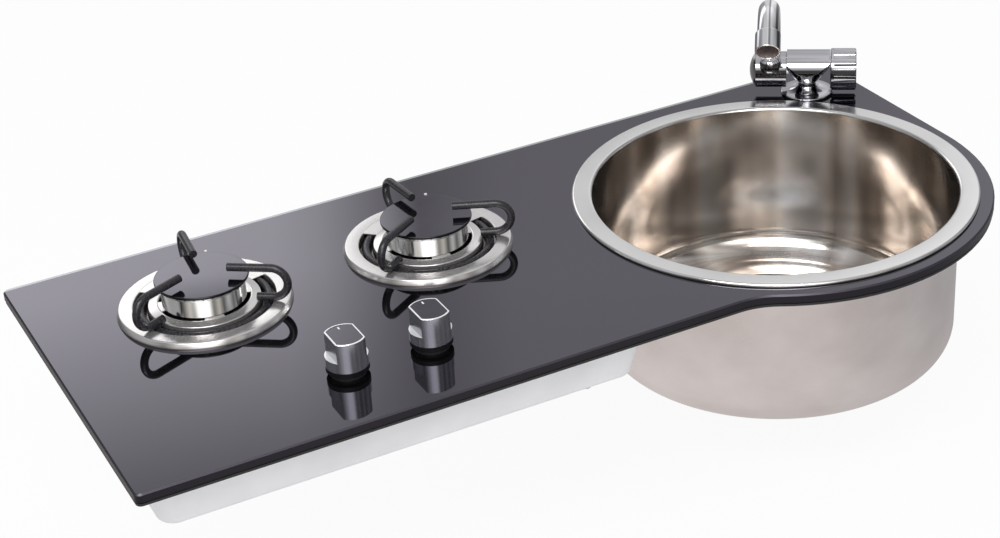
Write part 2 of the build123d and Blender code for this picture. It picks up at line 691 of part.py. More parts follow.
for number, (burner, first_arm) in enumerate(zip(burner_centres, first_arm_angles), start=1):
    upright = Plane(origin=(*burner, 0), x_dir=(1, 0, 0), z_dir=(0, -1, 0))
    burner_axis = Axis((*burner, 0), (0, 0, 1))

    # Pressed drip ring: skirt, plate, deep groove for the wire ring and island round the cup.
    with BuildPart() as drip_ring:
        with BuildSketch(upright):
            with BuildLine():
                FilletPolyline(
                    (drip_radius, glass_top),
                    (drip_radius, glass_top + drip_foot),
                    (drip_top_radius, drip_top),
                    (groove_outer, drip_top),
                    (groove_outer, groove_floor),
                    (groove_inner, groove_floor),
                    (groove_inner, drip_top),
                    (island_radius, drip_top),
                    (island_radius, drip_top - drip_lip),
                    radius=[drip_skirt_round, drip_edge_round, 0, 0, 0, 0, island_round],
                )
                offset(amount=drip_sheet, side=Side.LEFT)
            make_face()
        revolve(axis=burner_axis)
        with BuildSketch(Plane.XY.offset(drip_top - drip_sheet)):
            with Locations(burner):
                with PolarLocations(island_radius, lug_count, start_angle=lug_angle):
                    Rectangle(2 * (island_radius - cup_radius), lug_width)
                Circle(cup_radius + pivot_clearance, mode=Mode.SUBTRACT)
        extrude(amount=drip_sheet)
        with BuildSketch(Plane.XY.offset(drip_top - drip_sheet)):
            with Locations(burner):
                Circle(groove_outer + drip_sheet / 2)
                Circle(groove_inner - drip_sheet / 2, mode=Mode.SUBTRACT)
            with BuildLine():
                Polyline(
                    around(burner, 0, 0),
                    around(burner, 2 * groove_outer, tongue_start),
                    around(burner, 2 * groove_outer, tongue_middle),
                    around(burner, 2 * groove_outer, tongue_end),
                    close=True,
                )
            make_face(mode=Mode.INTERSECT)
        extrude(amount=drip_sheet)
        with BuildSketch(Plane.XY.offset(drip_top - drip_sheet)):
            with Locations(around(burner, wire_ring_radius, first_arm + 240)):
                Circle(tongue_notch)
            for angle, radius in (
                (electrode_angle, electrode_radius), (probe_angle, probe_radius),
            ):
                with Locations(around(burner, post_circle, angle)):
                    Circle(radius + post_clearance)
        extrude(amount=drip_sheet, mode=Mode.SUBTRACT)
    drip_ring.part.label = f"drip_ring_{number}"
    export_step(drip_ring.part, f"parts/drip_ring_{number}.step")

    # Wire pan support: a ring in the groove and three hairpin arms welded on it.
    with BuildPart() as pan_support:
        with BuildSketch(upright):
            with Locations((wire_ring_radius, wire_level)):
                Circle(wire_radius)
        revolve(axis=burner_axis)
        for angle in (first_arm, first_arm + 120, first_arm + 240):
            outward = Vector(cos(radians(angle)), sin(radians(angle)), 0)
            weld = around(burner, wire_ring_radius, angle, wire_level)
            with BuildSketch(Plane(origin=weld, x_dir=outward, z_dir=(0, 0, 1))):
                Rectangle(weld_length, weld_width)
            extrude(amount=lower_leg - wire_level)
        for angle in (first_arm, first_arm + 120, first_arm + 240):
            outward = Vector(cos(radians(angle)), sin(radians(angle)), 0)
            arm_plane = Plane(
                origin=(*burner, 0), x_dir=outward, z_dir=outward.cross(Vector(0, 0, 1))
            )
            with BuildLine(arm_plane) as arm_line:
                Line((arm_foot_radius, lower_leg), (loop_centre, lower_leg))
                CenterArc(
                    (loop_centre, lower_leg + arm_loop_radius), arm_loop_radius, -90, 180
                )
                Line((loop_centre, upper_leg), (arm_tip_radius, upper_leg))
            foot = around(burner, arm_foot_radius, angle, lower_leg)
            with BuildSketch(Plane(origin=foot, x_dir=(0, 0, 1), z_dir=outward)):
                Circle(wire_radius)
            sweep(path=arm_line.wire())
    pan_support.part.label = f"pan_support_{number}"
    export_step(pan_support.part, f"parts/pan_support_{number}.step")

    # Cup, slotted head and cap.
    with BuildPart() as burner_cup:
        with BuildSketch(Plane.XY.offset(cup_bottom)):
            with Locations(burner):
                Circle(cup_radius)
        extrude(amount=head_bottom - cup_bottom)
        fillet(burner_cup.faces().sort_by(Axis.Z)[0].edges(), cup_round)
        with BuildSketch(Plane.XY.offset(cup_bottom + cup_wall)):
            with Locations(burner):
                Circle(cup_radius - cup_wall)
        extrude(amount=head_bottom - cup_bottom, mode=Mode.SUBTRACT)
        with BuildSketch(Plane.XY.offset(cup_bottom)):
            with Locations(burner):
                Circle(base_bore)
        extrude(amount=cup_wall, mode=Mode.SUBTRACT)
    burner_cup.part.label = f"burner_cup_{number}"
    export_step(burner_cup.part, f"parts/burner_cup_{number}.step")

    with BuildPart() as burner_head:
        with BuildSketch(Plane.XY.offset(head_bottom)):
            with Locations(burner):
                Circle(head_radius)
        extrude(amount=head_height)
        with BuildSketch(Plane.XY.offset(head_bottom)):
            with Locations(burner):
                Circle(cup_radius - cup_wall - pivot_clearance)
        extrude(amount=-head_spigot)
        with BuildSketch(Plane.XY.offset(cap_bottom)):
            with Locations(burner):
                Circle(head_bore)
        extrude(amount=-head_height - head_spigot, mode=Mode.SUBTRACT)
        with BuildSketch(Plane.XY.offset(cap_bottom)):
            with Locations(burner):
                with PolarLocations(head_radius, port_count):
                    Rectangle(2 * (head_radius - head_bore + port_width), port_width)
        extrude(amount=-port_depth, mode=Mode.SUBTRACT)
    burner_head.part.label = f"burner_head_{number}"
    export_step(burner_head.part, f"parts/burner_head_{number}.step")

    with BuildPart() as burner_cap:
        with BuildSketch(Plane.XY.offset(cap_bottom)):
            with Locations(burner):
                Circle(cap_radius)
        extrude(amount=cap_thickness)
        fillet(burner_cap.edges(), cap_edge_round)
        with BuildSketch(Plane.XY.offset(cap_bottom)):
            with Locations(burner):
                Circle(head_bore - rest_gap)
                Circle(head_bore - rest_gap - cap_rib, mode=Mode.SUBTRACT)
        extrude(amount=-cap_rib)
    burner_cap.part.label = f"burner_cap_{number}"
    export_step(burner_cap.part, f"parts/burner_cap_{number}.step")

    # Cast base: column on the tray, plate under the cup and an inlet boss towards the front.
    boss_end = burner[1] - base_boss_reach
    with BuildPart() as burner_base:
        with BuildSketch(Plane.XY.offset(base_bottom)):
            with Locations(burner):
                Circle(base_radius)
        extrude(amount=base_plate_bottom - base_bottom)
        with BuildSketch(Plane.XY.offset(base_plate_bottom)):
            with Locations(burner):
                Circle(base_plate_radius)
        extrude(amount=base_plate_thickness)
        with BuildSketch(Plane.XZ.offset(-boss_end)):
            with Locations((burner[0], pipe_level)):
                Circle(base_boss_radius)
        extrude(amount=-base_boss_reach)
        with BuildSketch(Plane.XY.offset(cup_bottom)):
            with Locations(burner):
                Circle(base_bore)
        extrude(amount=pipe_level - base_boss_radius - cup_bottom, mode=Mode.SUBTRACT)
        with BuildSketch(Plane.XZ.offset(-boss_end)):
            with Locations((burner[0], pipe_level)):
                Circle(mixing_bore)
        extrude(amount=-base_boss_reach, mode=Mode.SUBTRACT)
    burner_base.part.label = f"burner_base_{number}"
    export_step(burner_base.part, f"parts/burner_base_{number}.step")

    # Ignition electrode and flame probe, both standing on the base's plate.
    electrode_place = around(burner, post_circle, electrode_angle)
    with BuildPart() as electrode:
        with BuildSketch(Plane.XY.offset(cup_bottom)):
            with Locations(electrode_place):
                Circle(electrode_radius)
        extrude(amount=glass_top + electrode_top - electrode_pin - cup_bottom)
        with BuildSketch(Plane.XY.offset(glass_top + electrode_top - electrode_pin)):
            with Locations(electrode_place):
                Circle(electrode_pin_radius)
        extrude(amount=electrode_pin)
    electrode.part.label = f"electrode_{number}"
    export_step(electrode.part, f"parts/electrode_{number}.step")

    with BuildPart() as flame_probe:
        with BuildSketch(Plane.XY.offset(cup_bottom)):
            with Locations(around(burner, post_circle, probe_angle)):
                Circle(probe_radius)
        extrude(amount=glass_top + probe_top - cup_bottom)
        fillet(flame_probe.faces().sort_by(Axis.Z)[-1].edges(), probe_round)
    flame_probe.part.label = f"flame_probe_{number}"
    export_step(flame_probe.part, f"parts/flame_probe_{number}.step")

    # Brass injector, its nose in the mixing bore.
    with BuildPart() as injector:
        with BuildSketch(Plane.XZ.offset(-boss_end)):
            with Locations((burner[0], pipe_level)):
                RegularPolygon(injector_across / 2, 6, major_radius=False)
        extrude(amount=injector_length)
        with BuildSketch(Plane.XZ.offset(-boss_end)):
            with Locations((burner[0], pipe_level)):
                Circle(injector_nose)
        extrude(amount=-injector_length / 2)
    injector.part.label = f"injector_{number}"
    export_step(injector.part, f"parts/injector_{number}.step")

    # Feed pipe from the valve behind the knob to the injector.
    knob_x = knob_places[number - 1][0]
    valve_rear = knob_y + valve_length / 2
    with BuildPart() as feed_pipe:
        with BuildLine(Plane.XY.offset(pipe_level)) as feed_line:
            FilletPolyline(
                (knob_x, valve_rear),
                (knob_x, feed_turn),
                (burner[0], feed_turn),
                (burner[0], boss_end - injector_length),
                radius=feed_bend,
            )
        with BuildSketch(Plane.XZ.offset(-valve_rear)):
            with Locations((knob_x, pipe_level)):
                Circle(feed_radius)
                Circle(feed_radius - pipe_wall, mode=Mode.SUBTRACT)
        sweep(path=feed_line.wire())
    feed_pipe.part.label = f"feed_pipe_{number}"
    export_step(feed_pipe.part, f"parts/feed_pipe_{number}.step")

# ---------------------------------------------------------------- gas manifold
with BuildPart() as gas_manifold:
    with BuildLine(Plane.XZ.offset(-manifold_y)) as manifold_line:
        FilletPolyline(
            (manifold_start, pipe_level),
            (manifold_turn, pipe_level),
            (manifold_turn, tray_bottom - inlet_tail),
            radius=manifold_bend,
        )
    with BuildSketch(Plane(origin=(manifold_start, manifold_y, pipe_level), z_dir=(1, 0, 0))):
        Circle(manifold_radius)
        Circle(manifold_radius - pipe_wall, mode=Mode.SUBTRACT)
    sweep(path=manifold_line.wire())
    with BuildSketch(Plane(origin=(manifold_start, manifold_y, pipe_level), z_dir=(1, 0, 0))):
        Circle(manifold_radius)
    extrude(amount=-pipe_wall)
gas_manifold.part.label = "gas_manifold"
export_step(gas_manifold.part, "parts/gas_manifold.step")

# ---------------------------------------------------------------- knobs and valves
knob_base_level = glass_top + knob_top - knob_barrel_height
knob_top_level = glass_top + knob_top
flat_level = knob_top_level - knob_flat_depth
collar_level = glass_top + knob_travel + knob_lift_gap
seal_ring_top = knob_base_level - knob_travel - knob_lift_gap
valve_top = glass_bottom - valve_drop
stem_bottom = valve_top - stem_grip
stem_top = knob_top_level - knob_crown
for number, knob in enumerate(knob_places, start=1):
    # Barrel: tapered, with two flats that end on ledges, hollow round a hub for the stem.
    with BuildPart() as knob_barrel:
        with Locations((*knob, knob_base_level)):
            Cone(
                bottom_radius=knob_base_radius,
                top_radius=knob_top_radius,
                height=knob_barrel_height,
                align=(Align.CENTER, Align.CENTER, Align.MIN),
            )
        for side in (-1, 1):
            with BuildSketch(Plane.XY.offset(flat_level)):
                with Locations((knob[0] + side * (knob_flat + knob_base_radius), knob[1])):
                    Rectangle(2 * knob_base_radius, 3 * knob_base_radius)
            extrude(amount=knob_flat_depth, mode=Mode.SUBTRACT)
        with BuildSketch(Plane.XY.offset(knob_top_level)):
            with Locations(knob):
                Circle(knob_top_radius - knob_edge)
                Rectangle(
                    2 * (knob_flat - knob_edge), 2 * knob_top_radius, mode=Mode.INTERSECT
                )
        extrude(amount=-knob_insert_depth, mode=Mode.SUBTRACT)
        with BuildSketch(Plane.XY.offset(knob_base_level)):
            with Locations(knob):
                Circle(knob_top_radius - knob_wall)
                Circle(hub_radius, mode=Mode.SUBTRACT)
        extrude(amount=flat_level - knob_wall - knob_base_level, mode=Mode.SUBTRACT)
        with BuildSketch(Plane.XY.offset(knob_base_level)):
            with Locations(knob):
                Circle(knob_top_radius - knob_wall)
                Rectangle(
                    2 * (knob_flat - knob_wall), 2 * knob_top_radius, mode=Mode.INTERSECT
                )
                Circle(hub_radius, mode=Mode.SUBTRACT)
        extrude(amount=stem_top - knob_base_level, mode=Mode.SUBTRACT)
        with BuildSketch(Plane.XY.offset(knob_base_level)):
            with Locations(knob):
                Circle(stem_radius + stem_clearance)
        extrude(amount=stem_top + rest_gap - knob_base_level, mode=Mode.SUBTRACT)
    knob_barrel.part.label = f"knob_barrel_{number}"
    export_step(knob_barrel.part, f"parts/knob_barrel_{number}.step")

    with BuildPart() as knob_insert:
        with BuildSketch(Plane.XY.offset(knob_top_level - knob_insert_depth)):
            with Locations(knob):
                Circle(knob_top_radius - knob_edge)
                Rectangle(
                    2 * (knob_flat - knob_edge), 2 * knob_top_radius, mode=Mode.INTERSECT
                )
        extrude(amount=knob_insert_depth - insert_recess)
    knob_insert.part.label = f"knob_insert_{number}"
    export_step(knob_insert.part, f"parts/knob_insert_{number}.step")

    with BuildPart() as knob_collar:
        with BuildSketch(Plane.XY.offset(collar_level)):
            with Locations(knob):
                Circle(knob_base_radius)
                Circle(collar_inner, mode=Mode.SUBTRACT)
        extrude(amount=knob_base_level - collar_level)
    knob_collar.part.label = f"knob_collar_{number}"
    export_step(knob_collar.part, f"parts/knob_collar_{number}.step")

    # Rubber seal in the glass hole, fixed while the knob moves over it.
    with BuildPart() as shaft_seal:
        with BuildSketch(Plane.XY.offset(glass_top)):
            with Locations(knob):
                Circle(seal_ring_radius)
        extrude(amount=seal_ring_top - glass_top)
        chamfer(shaft_seal.faces().sort_by(Axis.Z)[-1].edges(), seal_ring_edge)
        with BuildSketch(Plane.XY.offset(glass_top)):
            with Locations(knob):
                Circle(glass_stem_hole - rest_gap)
        extrude(amount=-glass_thickness / 2)
        with BuildSketch():
            with Locations(knob):
                Circle(stem_radius + seal_bore_play)
        extrude(amount=2 * glass_thickness, mode=Mode.SUBTRACT)
    shaft_seal.part.label = f"shaft_seal_{number}"
    export_step(shaft_seal.part, f"parts/shaft_seal_{number}.step")

    with BuildPart() as valve_stem:
        with BuildSketch(Plane.XY.offset(stem_bottom)):
            with Locations(knob):
                Circle(stem_radius)
        extrude(amount=stem_top - stem_bottom)
        chamfer(valve_stem.faces().sort_by(Axis.Z)[-1].edges(), stem_edge)
    valve_stem.part.label = f"valve_stem_{number}"
    export_step(valve_stem.part, f"parts/valve_stem_{number}.step")

    # Valve body with its boss under the glass and a spigot saddled on the manifold.
    with BuildPart() as gas_valve:
        with BuildSketch(Plane.XY.offset(valve_top)):
            with Locations(knob):
                RectangleRounded(valve_width, valve_length, valve_corner)
        extrude(amount=-valve_height)
        with BuildSketch(Plane.XY.offset(valve_top)):
            with Locations(knob):
                Circle(valve_boss_radius)
        extrude(amount=valve_drop - valve_boss_gap)
        with BuildSketch(Plane.XZ.offset(-knob_y)):
            with Locations((knob[0], pipe_level)):
                Circle(valve_spigot_radius)
        extrude(amount=knob_y - manifold_y)
        with BuildSketch(Plane.YZ.offset(knob[0] - valve_width)):
            with Locations((manifold_y, pipe_level)):
                Circle(manifold_radius)
        extrude(amount=2 * valve_width, mode=Mode.SUBTRACT)
        with BuildSketch(Plane.XY.offset(stem_bottom - knob_travel - knob_lift_gap)):
            with Locations(knob):
                Circle(stem_radius + stem_clearance)
        extrude(amount=valve_height, mode=Mode.SUBTRACT)
    gas_valve.part.label = f"gas_valve_{number}"
    export_step(gas_valve.part, f"parts/gas_valve_{number}.step")

# ---------------------------------------------------------------- tap
tap_axis_level = glass_top + tap_axis_height
tap_foot_level = glass_top + tap_gasket_thickness
tap_centre = Vector(tap_x, tap_y, tap_axis_level)
along_barrel = Plane(
    origin=tap_centre, x_dir=tap_direction, z_dir=tap_direction.cross(Vector(0, 0, 1))
)
tap_upright = Plane(origin=(tap_x, tap_y, 0), x_dir=(1, 0, 0), z_dir=(0, -1, 0))
tap_vertical = Axis((tap_x, tap_y, 0), (0, 0, 1))
tap_across = Axis(tuple(tap_centre), tuple(tap_direction))


def across_barrel(distance):
    """Plane square to the barrel at a distance from the foot's centre."""
    return Plane(
        origin=tap_centre + tap_direction * distance, x_dir=(0, 0, 1), z_dir=tap_direction
    )


# Body: the barrel, cut to a hollow cone that stands on a flat foot, and the threaded tail.
barrel_top = tap_axis_level + barrel_radius
foot_top = glass_top + tap_foot_height
with BuildPart() as tap_body:
    with BuildSketch(tap_upright):
        with BuildLine():
            Line((0, foot_top - foot_edge), (tap_waist_radius, foot_top - foot_edge))
            Line((tap_waist_radius, foot_top - foot_edge), (tap_waist_radius, foot_top))
            Spline(
                (tap_waist_radius, foot_top),
                (barrel_radius, tap_axis_level),
                (saddle_radius, barrel_top),
            )
            Line((saddle_radius, barrel_top), (0, barrel_top))
            Line((0, barrel_top), (0, foot_top - foot_edge))
        make_face()
    revolve(axis=tap_vertical)
    with BuildSketch(across_barrel(-barrel_left)):
        Circle(barrel_radius)
        with Locations((-tap_axis_height / 2, 0)):
            Rectangle(tap_axis_height, 2 * barrel_radius)
    extrude(amount=barrel_left + barrel_right, mode=Mode.INTERSECT)
    with BuildSketch(Plane.XY.offset(tap_foot_level)):
        with Locations((tap_x, tap_y)):
            Circle(tap_foot_radius)
    extrude(amount=foot_top - tap_foot_level)
    foot_rim = tap_body.edges().group_by(Axis.Z)[2].sort_by(SortBy.RADIUS)[-1]
    chamfer(foot_rim, foot_edge)
    with BuildSketch(Plane.XY.offset(tap_foot_level)):
        with Locations((tap_x, tap_y)):
            Circle(tail_radius)
    extrude(amount=-tail_length)
    with BuildSketch(Plane.XY.offset(tap_foot_level - tail_length)):
        with Locations((tap_x, tap_y)):
            Circle(water_tail_radius)
    extrude(amount=-water_tail_length)
    with BuildSketch(Plane.XY.offset(tap_foot_level - tail_length - water_tail_length)):
        with Locations((tap_x, tap_y)):
            Circle(water_bore)
    extrude(amount=tail_length + water_tail_length + tap_axis_height, mode=Mode.SUBTRACT)
    with BuildSketch(across_barrel(-barrel_left)):
        Circle(pivot_radius + pivot_clearance)
    extrude(amount=pivot_length + tap_gap, mode=Mode.SUBTRACT)
    with BuildSketch(across_barrel(barrel_right)):
        Circle(spindle_radius + pivot_clearance)
    extrude(amount=-spindle_length - tap_gap, mode=Mode.SUBTRACT)
    with BuildSketch(across_barrel(-barrel_left)):
        Circle(water_bore)
    extrude(amount=barrel_left + barrel_right, mode=Mode.SUBTRACT)
tap_body.part.label = "tap_body"
export_step(tap_body.part, "parts/tap_body.step")

with BuildPart() as tap_gasket:
    with BuildSketch(Plane.XY.offset(glass_top)):
        with Locations((tap_x, tap_y)):
            Circle(tap_foot_radius - foot_edge)
            Circle(tap_hole_radius, mode=Mode.SUBTRACT)
    extrude(amount=tap_gasket_thickness)
tap_gasket.part.label = "tap_gasket"
export_step(tap_gasket.part, "parts/tap_gasket.step")

with BuildPart() as tap_washer:
    with BuildSketch(Plane.XY.offset(glass_bottom)):
        with Locations((tap_x, tap_y)):
            Circle(nut_across / 2 + tap_washer_margin)
            Circle(tail_radius + pivot_clearance, mode=Mode.SUBTRACT)
    extrude(amount=-tap_washer_thickness)
tap_washer.part.label = "tap_washer"
export_step(tap_washer.part, "parts/tap_washer.step")

with BuildPart() as tap_nut:
    with BuildSketch(Plane.XY.offset(glass_bottom - tap_washer_thickness)):
        with Locations((tap_x, tap_y)):
            RegularPolygon(nut_across / 2, 6, major_radius=False)
            Circle(tail_radius + pivot_clearance, mode=Mode.SUBTRACT)
    extrude(amount=-nut_height)
tap_nut.part.label = "tap_nut"
export_step(tap_nut.part, "parts/tap_nut.step")

# Elbow of the folding spout: its pivot runs in the barrel.
elbow_face = -barrel_left - tap_gap
hub_distance = elbow_face - spout_offset
hub = tap_centre + tap_direction * hub_distance
dome_radius = (elbow_radius**2 + elbow_dome**2) / (2 * elbow_dome)
dome_middle = dome_radius - sqrt(dome_radius**2 - elbow_radius**2 / 4)
spout_plane = Plane(origin=hub, x_dir=spout_direction, z_dir=-tap_direction)
with BuildPart() as spout_elbow:
    with BuildSketch(along_barrel):
        with BuildLine():
            Polyline(
                (elbow_face + pivot_length, 0),
                (elbow_face + pivot_length, pivot_radius),
                (elbow_face, pivot_radius),
                (elbow_face, elbow_radius),
                (elbow_face - elbow_length + elbow_dome, elbow_radius),
            )
            ThreePointArc(
                (elbow_face - elbow_length + elbow_dome, elbow_radius),
                (elbow_face - elbow_length + dome_middle, elbow_radius / 2),
                (elbow_face - elbow_length, 0),
            )
            Line((elbow_face - elbow_length, 0), (elbow_face + pivot_length, 0))
        make_face()
    revolve(axis=tap_across)
    with Locations(spout_plane):
        with Locations((knuckle_forward, knuckle_rise, 0)):
            Sphere(knuckle_radius)
    with BuildSketch(Plane.XY.offset(tap_axis_level + socket_floor)):
        with Locations((hub.X, hub.Y)):
            Circle(spout_tube_radius + pivot_clearance)
    extrude(amount=elbow_radius, mode=Mode.SUBTRACT)
    with BuildSketch(Plane.XY.offset(tap_axis_level)):
        with Locations((hub.X, hub.Y)):
            Circle(water_bore)
    extrude(amount=elbow_radius, mode=Mode.SUBTRACT)
    with BuildSketch(across_barrel(elbow_face + pivot_length)):
        Circle(water_bore)
    extrude(amount=hub_distance - elbow_face - pivot_length, mode=Mode.SUBTRACT)
spout_elbow.part.label = "spout_elbow"
export_step(spout_elbow.part, "parts/spout_elbow.step")

# Spout tube: straight riser and an arch over the bowl.
outlet_angle = spout_dip
arch_centre = (spout_arch_radius, spout_riser)
arch_end = (
    spout_arch_radius * (1 + sin(radians(outlet_angle))),
    spout_riser + spout_arch_radius * cos(radians(outlet_angle)),
)
outlet_direction = spout_direction * cos(radians(outlet_angle)) - Vector(
    0, 0, sin(radians(outlet_angle))
)
tube_end = hub + spout_direction * arch_end[0] + Vector(0, 0, arch_end[1])
with BuildPart() as spout_tube:
    with BuildLine(spout_plane) as spout_line:
        Line((0, socket_floor), (0, spout_riser))
        CenterArc(arch_centre, spout_arch_radius, 180, -90 - outlet_angle)
    with BuildSketch(
        Plane(origin=hub + Vector(0, 0, socket_floor), x_dir=spout_direction, z_dir=(0, 0, 1))
    ):
        Circle(spout_tube_radius)
        Circle(spout_tube_radius - spout_wall, mode=Mode.SUBTRACT)
    sweep(path=spout_line.wire())
spout_tube.part.label = "spout_tube"
export_step(spout_tube.part, "parts/spout_tube.step")

with BuildPart() as spout_nozzle:
    with BuildSketch(Plane(origin=tube_end, x_dir=tap_direction, z_dir=outlet_direction)):
        Circle(nozzle_radius)
    extrude(amount=nozzle_length)
    chamfer(
        spout_nozzle.faces().sort_by(Axis(tuple(tube_end), tuple(outlet_direction)))[0].edges(),
        nozzle_chamfer,
    )
    with BuildSketch(Plane(origin=tube_end, x_dir=tap_direction, z_dir=outlet_direction)):
        Circle(spout_tube_radius - spout_wall)
    extrude(amount=nozzle_back, mode=Mode.SUBTRACT)
    with BuildSketch(
        Plane(
            origin=tube_end + outlet_direction * nozzle_back,
            x_dir=tap_direction,
            z_dir=outlet_direction,
        )
    ):
        Circle(nozzle_radius - nozzle_wall)
    extrude(amount=nozzle_length, mode=Mode.SUBTRACT)
spout_nozzle.part.label = "spout_nozzle"
export_step(spout_nozzle.part, "parts/spout_nozzle.step")

# Handle: fluted round its edge, on a spindle that runs in the barrel.
handle_face = barrel_right + tap_gap
with BuildPart() as tap_handle:
    with BuildSketch(across_barrel(handle_face)):
        Circle(handle_radius)
    extrude(amount=handle_length)
    chamfer(tap_handle.edges(), handle_edge)
    with BuildSketch(across_barrel(handle_face + handle_shoulder)):
        with PolarLocations(handle_radius + flute_radius - flute_depth, handle_flutes):
            Circle(flute_radius)
    extrude(amount=handle_length, mode=Mode.SUBTRACT)
    with BuildSketch(across_barrel(handle_face + handle_length - handle_cap_depth)):
        Circle(handle_cap_radius)
    extrude(amount=handle_length, mode=Mode.SUBTRACT)
    with BuildSketch(across_barrel(handle_face)):
        Circle(spindle_radius)
    extrude(amount=-spindle_length)
tap_handle.part.label = "tap_handle"
export_step(tap_handle.part, "parts/tap_handle.step")

with BuildPart() as handle_cap:
    with BuildSketch(across_barrel(handle_face + handle_length - handle_cap_depth)):
        Circle(handle_cap_radius)
    extrude(amount=handle_cap_depth)
handle_cap.part.label = "handle_cap"
export_step(handle_cap.part, "parts/handle_cap.step")
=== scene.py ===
"""Drop-in kitchen panel: black glass with two gas burners, a round steel bowl and a tap."""
from math import cos, pi, radians, sin

import bmesh
import bpy
import numpy as np
from mathutils import Matrix, Vector


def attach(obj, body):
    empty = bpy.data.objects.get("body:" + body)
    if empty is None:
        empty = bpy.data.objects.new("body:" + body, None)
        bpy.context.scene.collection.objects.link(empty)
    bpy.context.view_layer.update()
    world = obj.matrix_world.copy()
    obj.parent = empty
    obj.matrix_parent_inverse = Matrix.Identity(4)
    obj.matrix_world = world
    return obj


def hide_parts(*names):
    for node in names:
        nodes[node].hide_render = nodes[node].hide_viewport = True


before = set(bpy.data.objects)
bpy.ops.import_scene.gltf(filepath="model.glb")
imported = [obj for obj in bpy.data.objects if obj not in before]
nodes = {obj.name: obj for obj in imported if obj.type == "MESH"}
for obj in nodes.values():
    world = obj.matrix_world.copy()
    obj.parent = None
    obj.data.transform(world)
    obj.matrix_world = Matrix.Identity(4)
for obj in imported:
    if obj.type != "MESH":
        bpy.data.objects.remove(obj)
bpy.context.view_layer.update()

# ---------------------------------------------------------------- camera
# A long lens above the hob's left front corner, looking down and along the panel to the tap.
# Its place is in metres; its right, its top and its back point the ways given.
CAMERA_PLACE = (-0.69709782, -1.34646935, 0.8198865)
CAMERA_RIGHT = (0.88922657, -0.45345755, -0.06043479)
CAMERA_UP = (0.26738508, 0.40799695, 0.87295115)
CAMERA_BACK = (-0.37118908, -0.79241071, 0.48404951)
camera = bpy.data.objects.new("camera", bpy.data.cameras.new("camera"))
bpy.context.scene.collection.objects.link(camera)
camera.data.lens = 77.3526
camera.data.sensor_width = 36.0
camera.data.shift_x = -0.00169
camera.data.shift_y = -0.00079
camera.data.clip_end = 50.0
camera.matrix_world = (
    Matrix.Translation(CAMERA_PLACE)
    @ Matrix((CAMERA_RIGHT, CAMERA_UP, CAMERA_BACK)).transposed().to_4x4()
)
bpy.context.scene.camera = camera

# ---------------------------------------------------------------- studio
# White surroundings, a pale floor under the bowl's waste and a long soft lamp over the camera.
# Mirror-like surfaces see a sky of their own: dark and warm bands all round, a bright screen low
# at the rear, a strip light at the front and a grey ceiling.
WHITE = (1.0, 1.0, 1.0, 1.0)
CEILING = (0.52, 0.52, 0.53, 1.0)
WARM = (1.0, 0.95, 0.90)
PLAIN = (1.0, 1.0, 1.02)
bpy.context.scene.view_settings.view_transform = "Standard"


def fresh(material):
    """The nodes and links of a material or a world, emptied."""
    material.use_nodes = True
    material.node_tree.nodes.clear()
    return material.node_tree.nodes, material.node_tree.links


def ramp(tree, links, source, stops):
    """A colour ramp fed by a socket; stops are (place, colour)."""
    node = tree.new("ShaderNodeValToRGB")
    band = node.color_ramp
    band.elements[0].position, band.elements[0].color = stops[0][0], (*stops[0][1], 1.0)
    band.elements[1].position, band.elements[1].color = stops[-1][0], (*stops[-1][1], 1.0)
    for place, color in stops[1:-1]:
        band.elements.new(place).color = (*color, 1.0)
    links.new(source, node.inputs["Fac"])
    return node.outputs["Color"]


def blend(tree, links, kind, factor, first, second):
    """Two colours joined by a mix node of a kind; each may be a socket or a plain value."""
    node = tree.new("ShaderNodeMix")
    node.data_type = "RGBA"
    node.blend_type = kind
    node.clamp_result = False
    for key, value in (("Factor", factor), ("A", first), ("B", second)):
        if isinstance(value, bpy.types.NodeSocket):
            links.new(value, node.inputs[key])
        else:
            node.inputs[key].default_value = value
    return node.outputs["Result"]


def scaled(tree, links, source, low, high, first=0.0, last=1.0):
    """A socket whose low to high is turned into first to last, and held there beyond."""
    node = tree.new("ShaderNodeMapRange")
    for key, value in (("From Min", low), ("From Max", high), ("To Min", first), ("To Max", last)):
        node.inputs[key].default_value = value
    links.new(source, node.inputs["Value"])
    return node.outputs["Result"]


def one_axis(tree, links, source, axis):
    """The X, Y or Z of a vector socket."""
    node = tree.new("ShaderNodeSeparateXYZ")
    links.new(source, node.inputs[0])
    return node.outputs[axis]


def seen_by(tree, links, kind, share, below, above):
    """Two shaders mixed, so that one kind of ray sees a share of the upper one."""
    part = tree.new("ShaderNodeMath")
    part.operation = "MULTIPLY"
    part.inputs[1].default_value = share
    links.new(tree.new("ShaderNodeLightPath").outputs[kind], part.inputs[0])
    mix = tree.new("ShaderNodeMixShader")
    links.new(part.outputs[0], mix.inputs["Fac"])
    links.new(below.outputs[0], mix.inputs[1])
    links.new(above.outputs[0], mix.inputs[2])
    return mix


def around(azimuth):
    """Place on a radial gradient of a direction in degrees from +X, between -180 and 180."""
    return azimuth / 360 + 0.5


def grey(tone):
    """A colour without hue."""
    return (tone, tone, tone)


studio = bpy.data.worlds.new("studio")
bpy.context.scene.world = studio
sky_nodes, sky_links = fresh(studio)
sky_place = sky_nodes.new("ShaderNodeTexCoord").outputs["Generated"]
sky_sweep = sky_nodes.new("ShaderNodeTexGradient")
sky_sweep.gradient_type = "RADIAL"
sky_links.new(sky_place, sky_sweep.inputs["Vector"])
sky_azimuth = sky_sweep.outputs["Fac"]
sky_height = one_axis(sky_nodes, sky_links, sky_place, "Z")

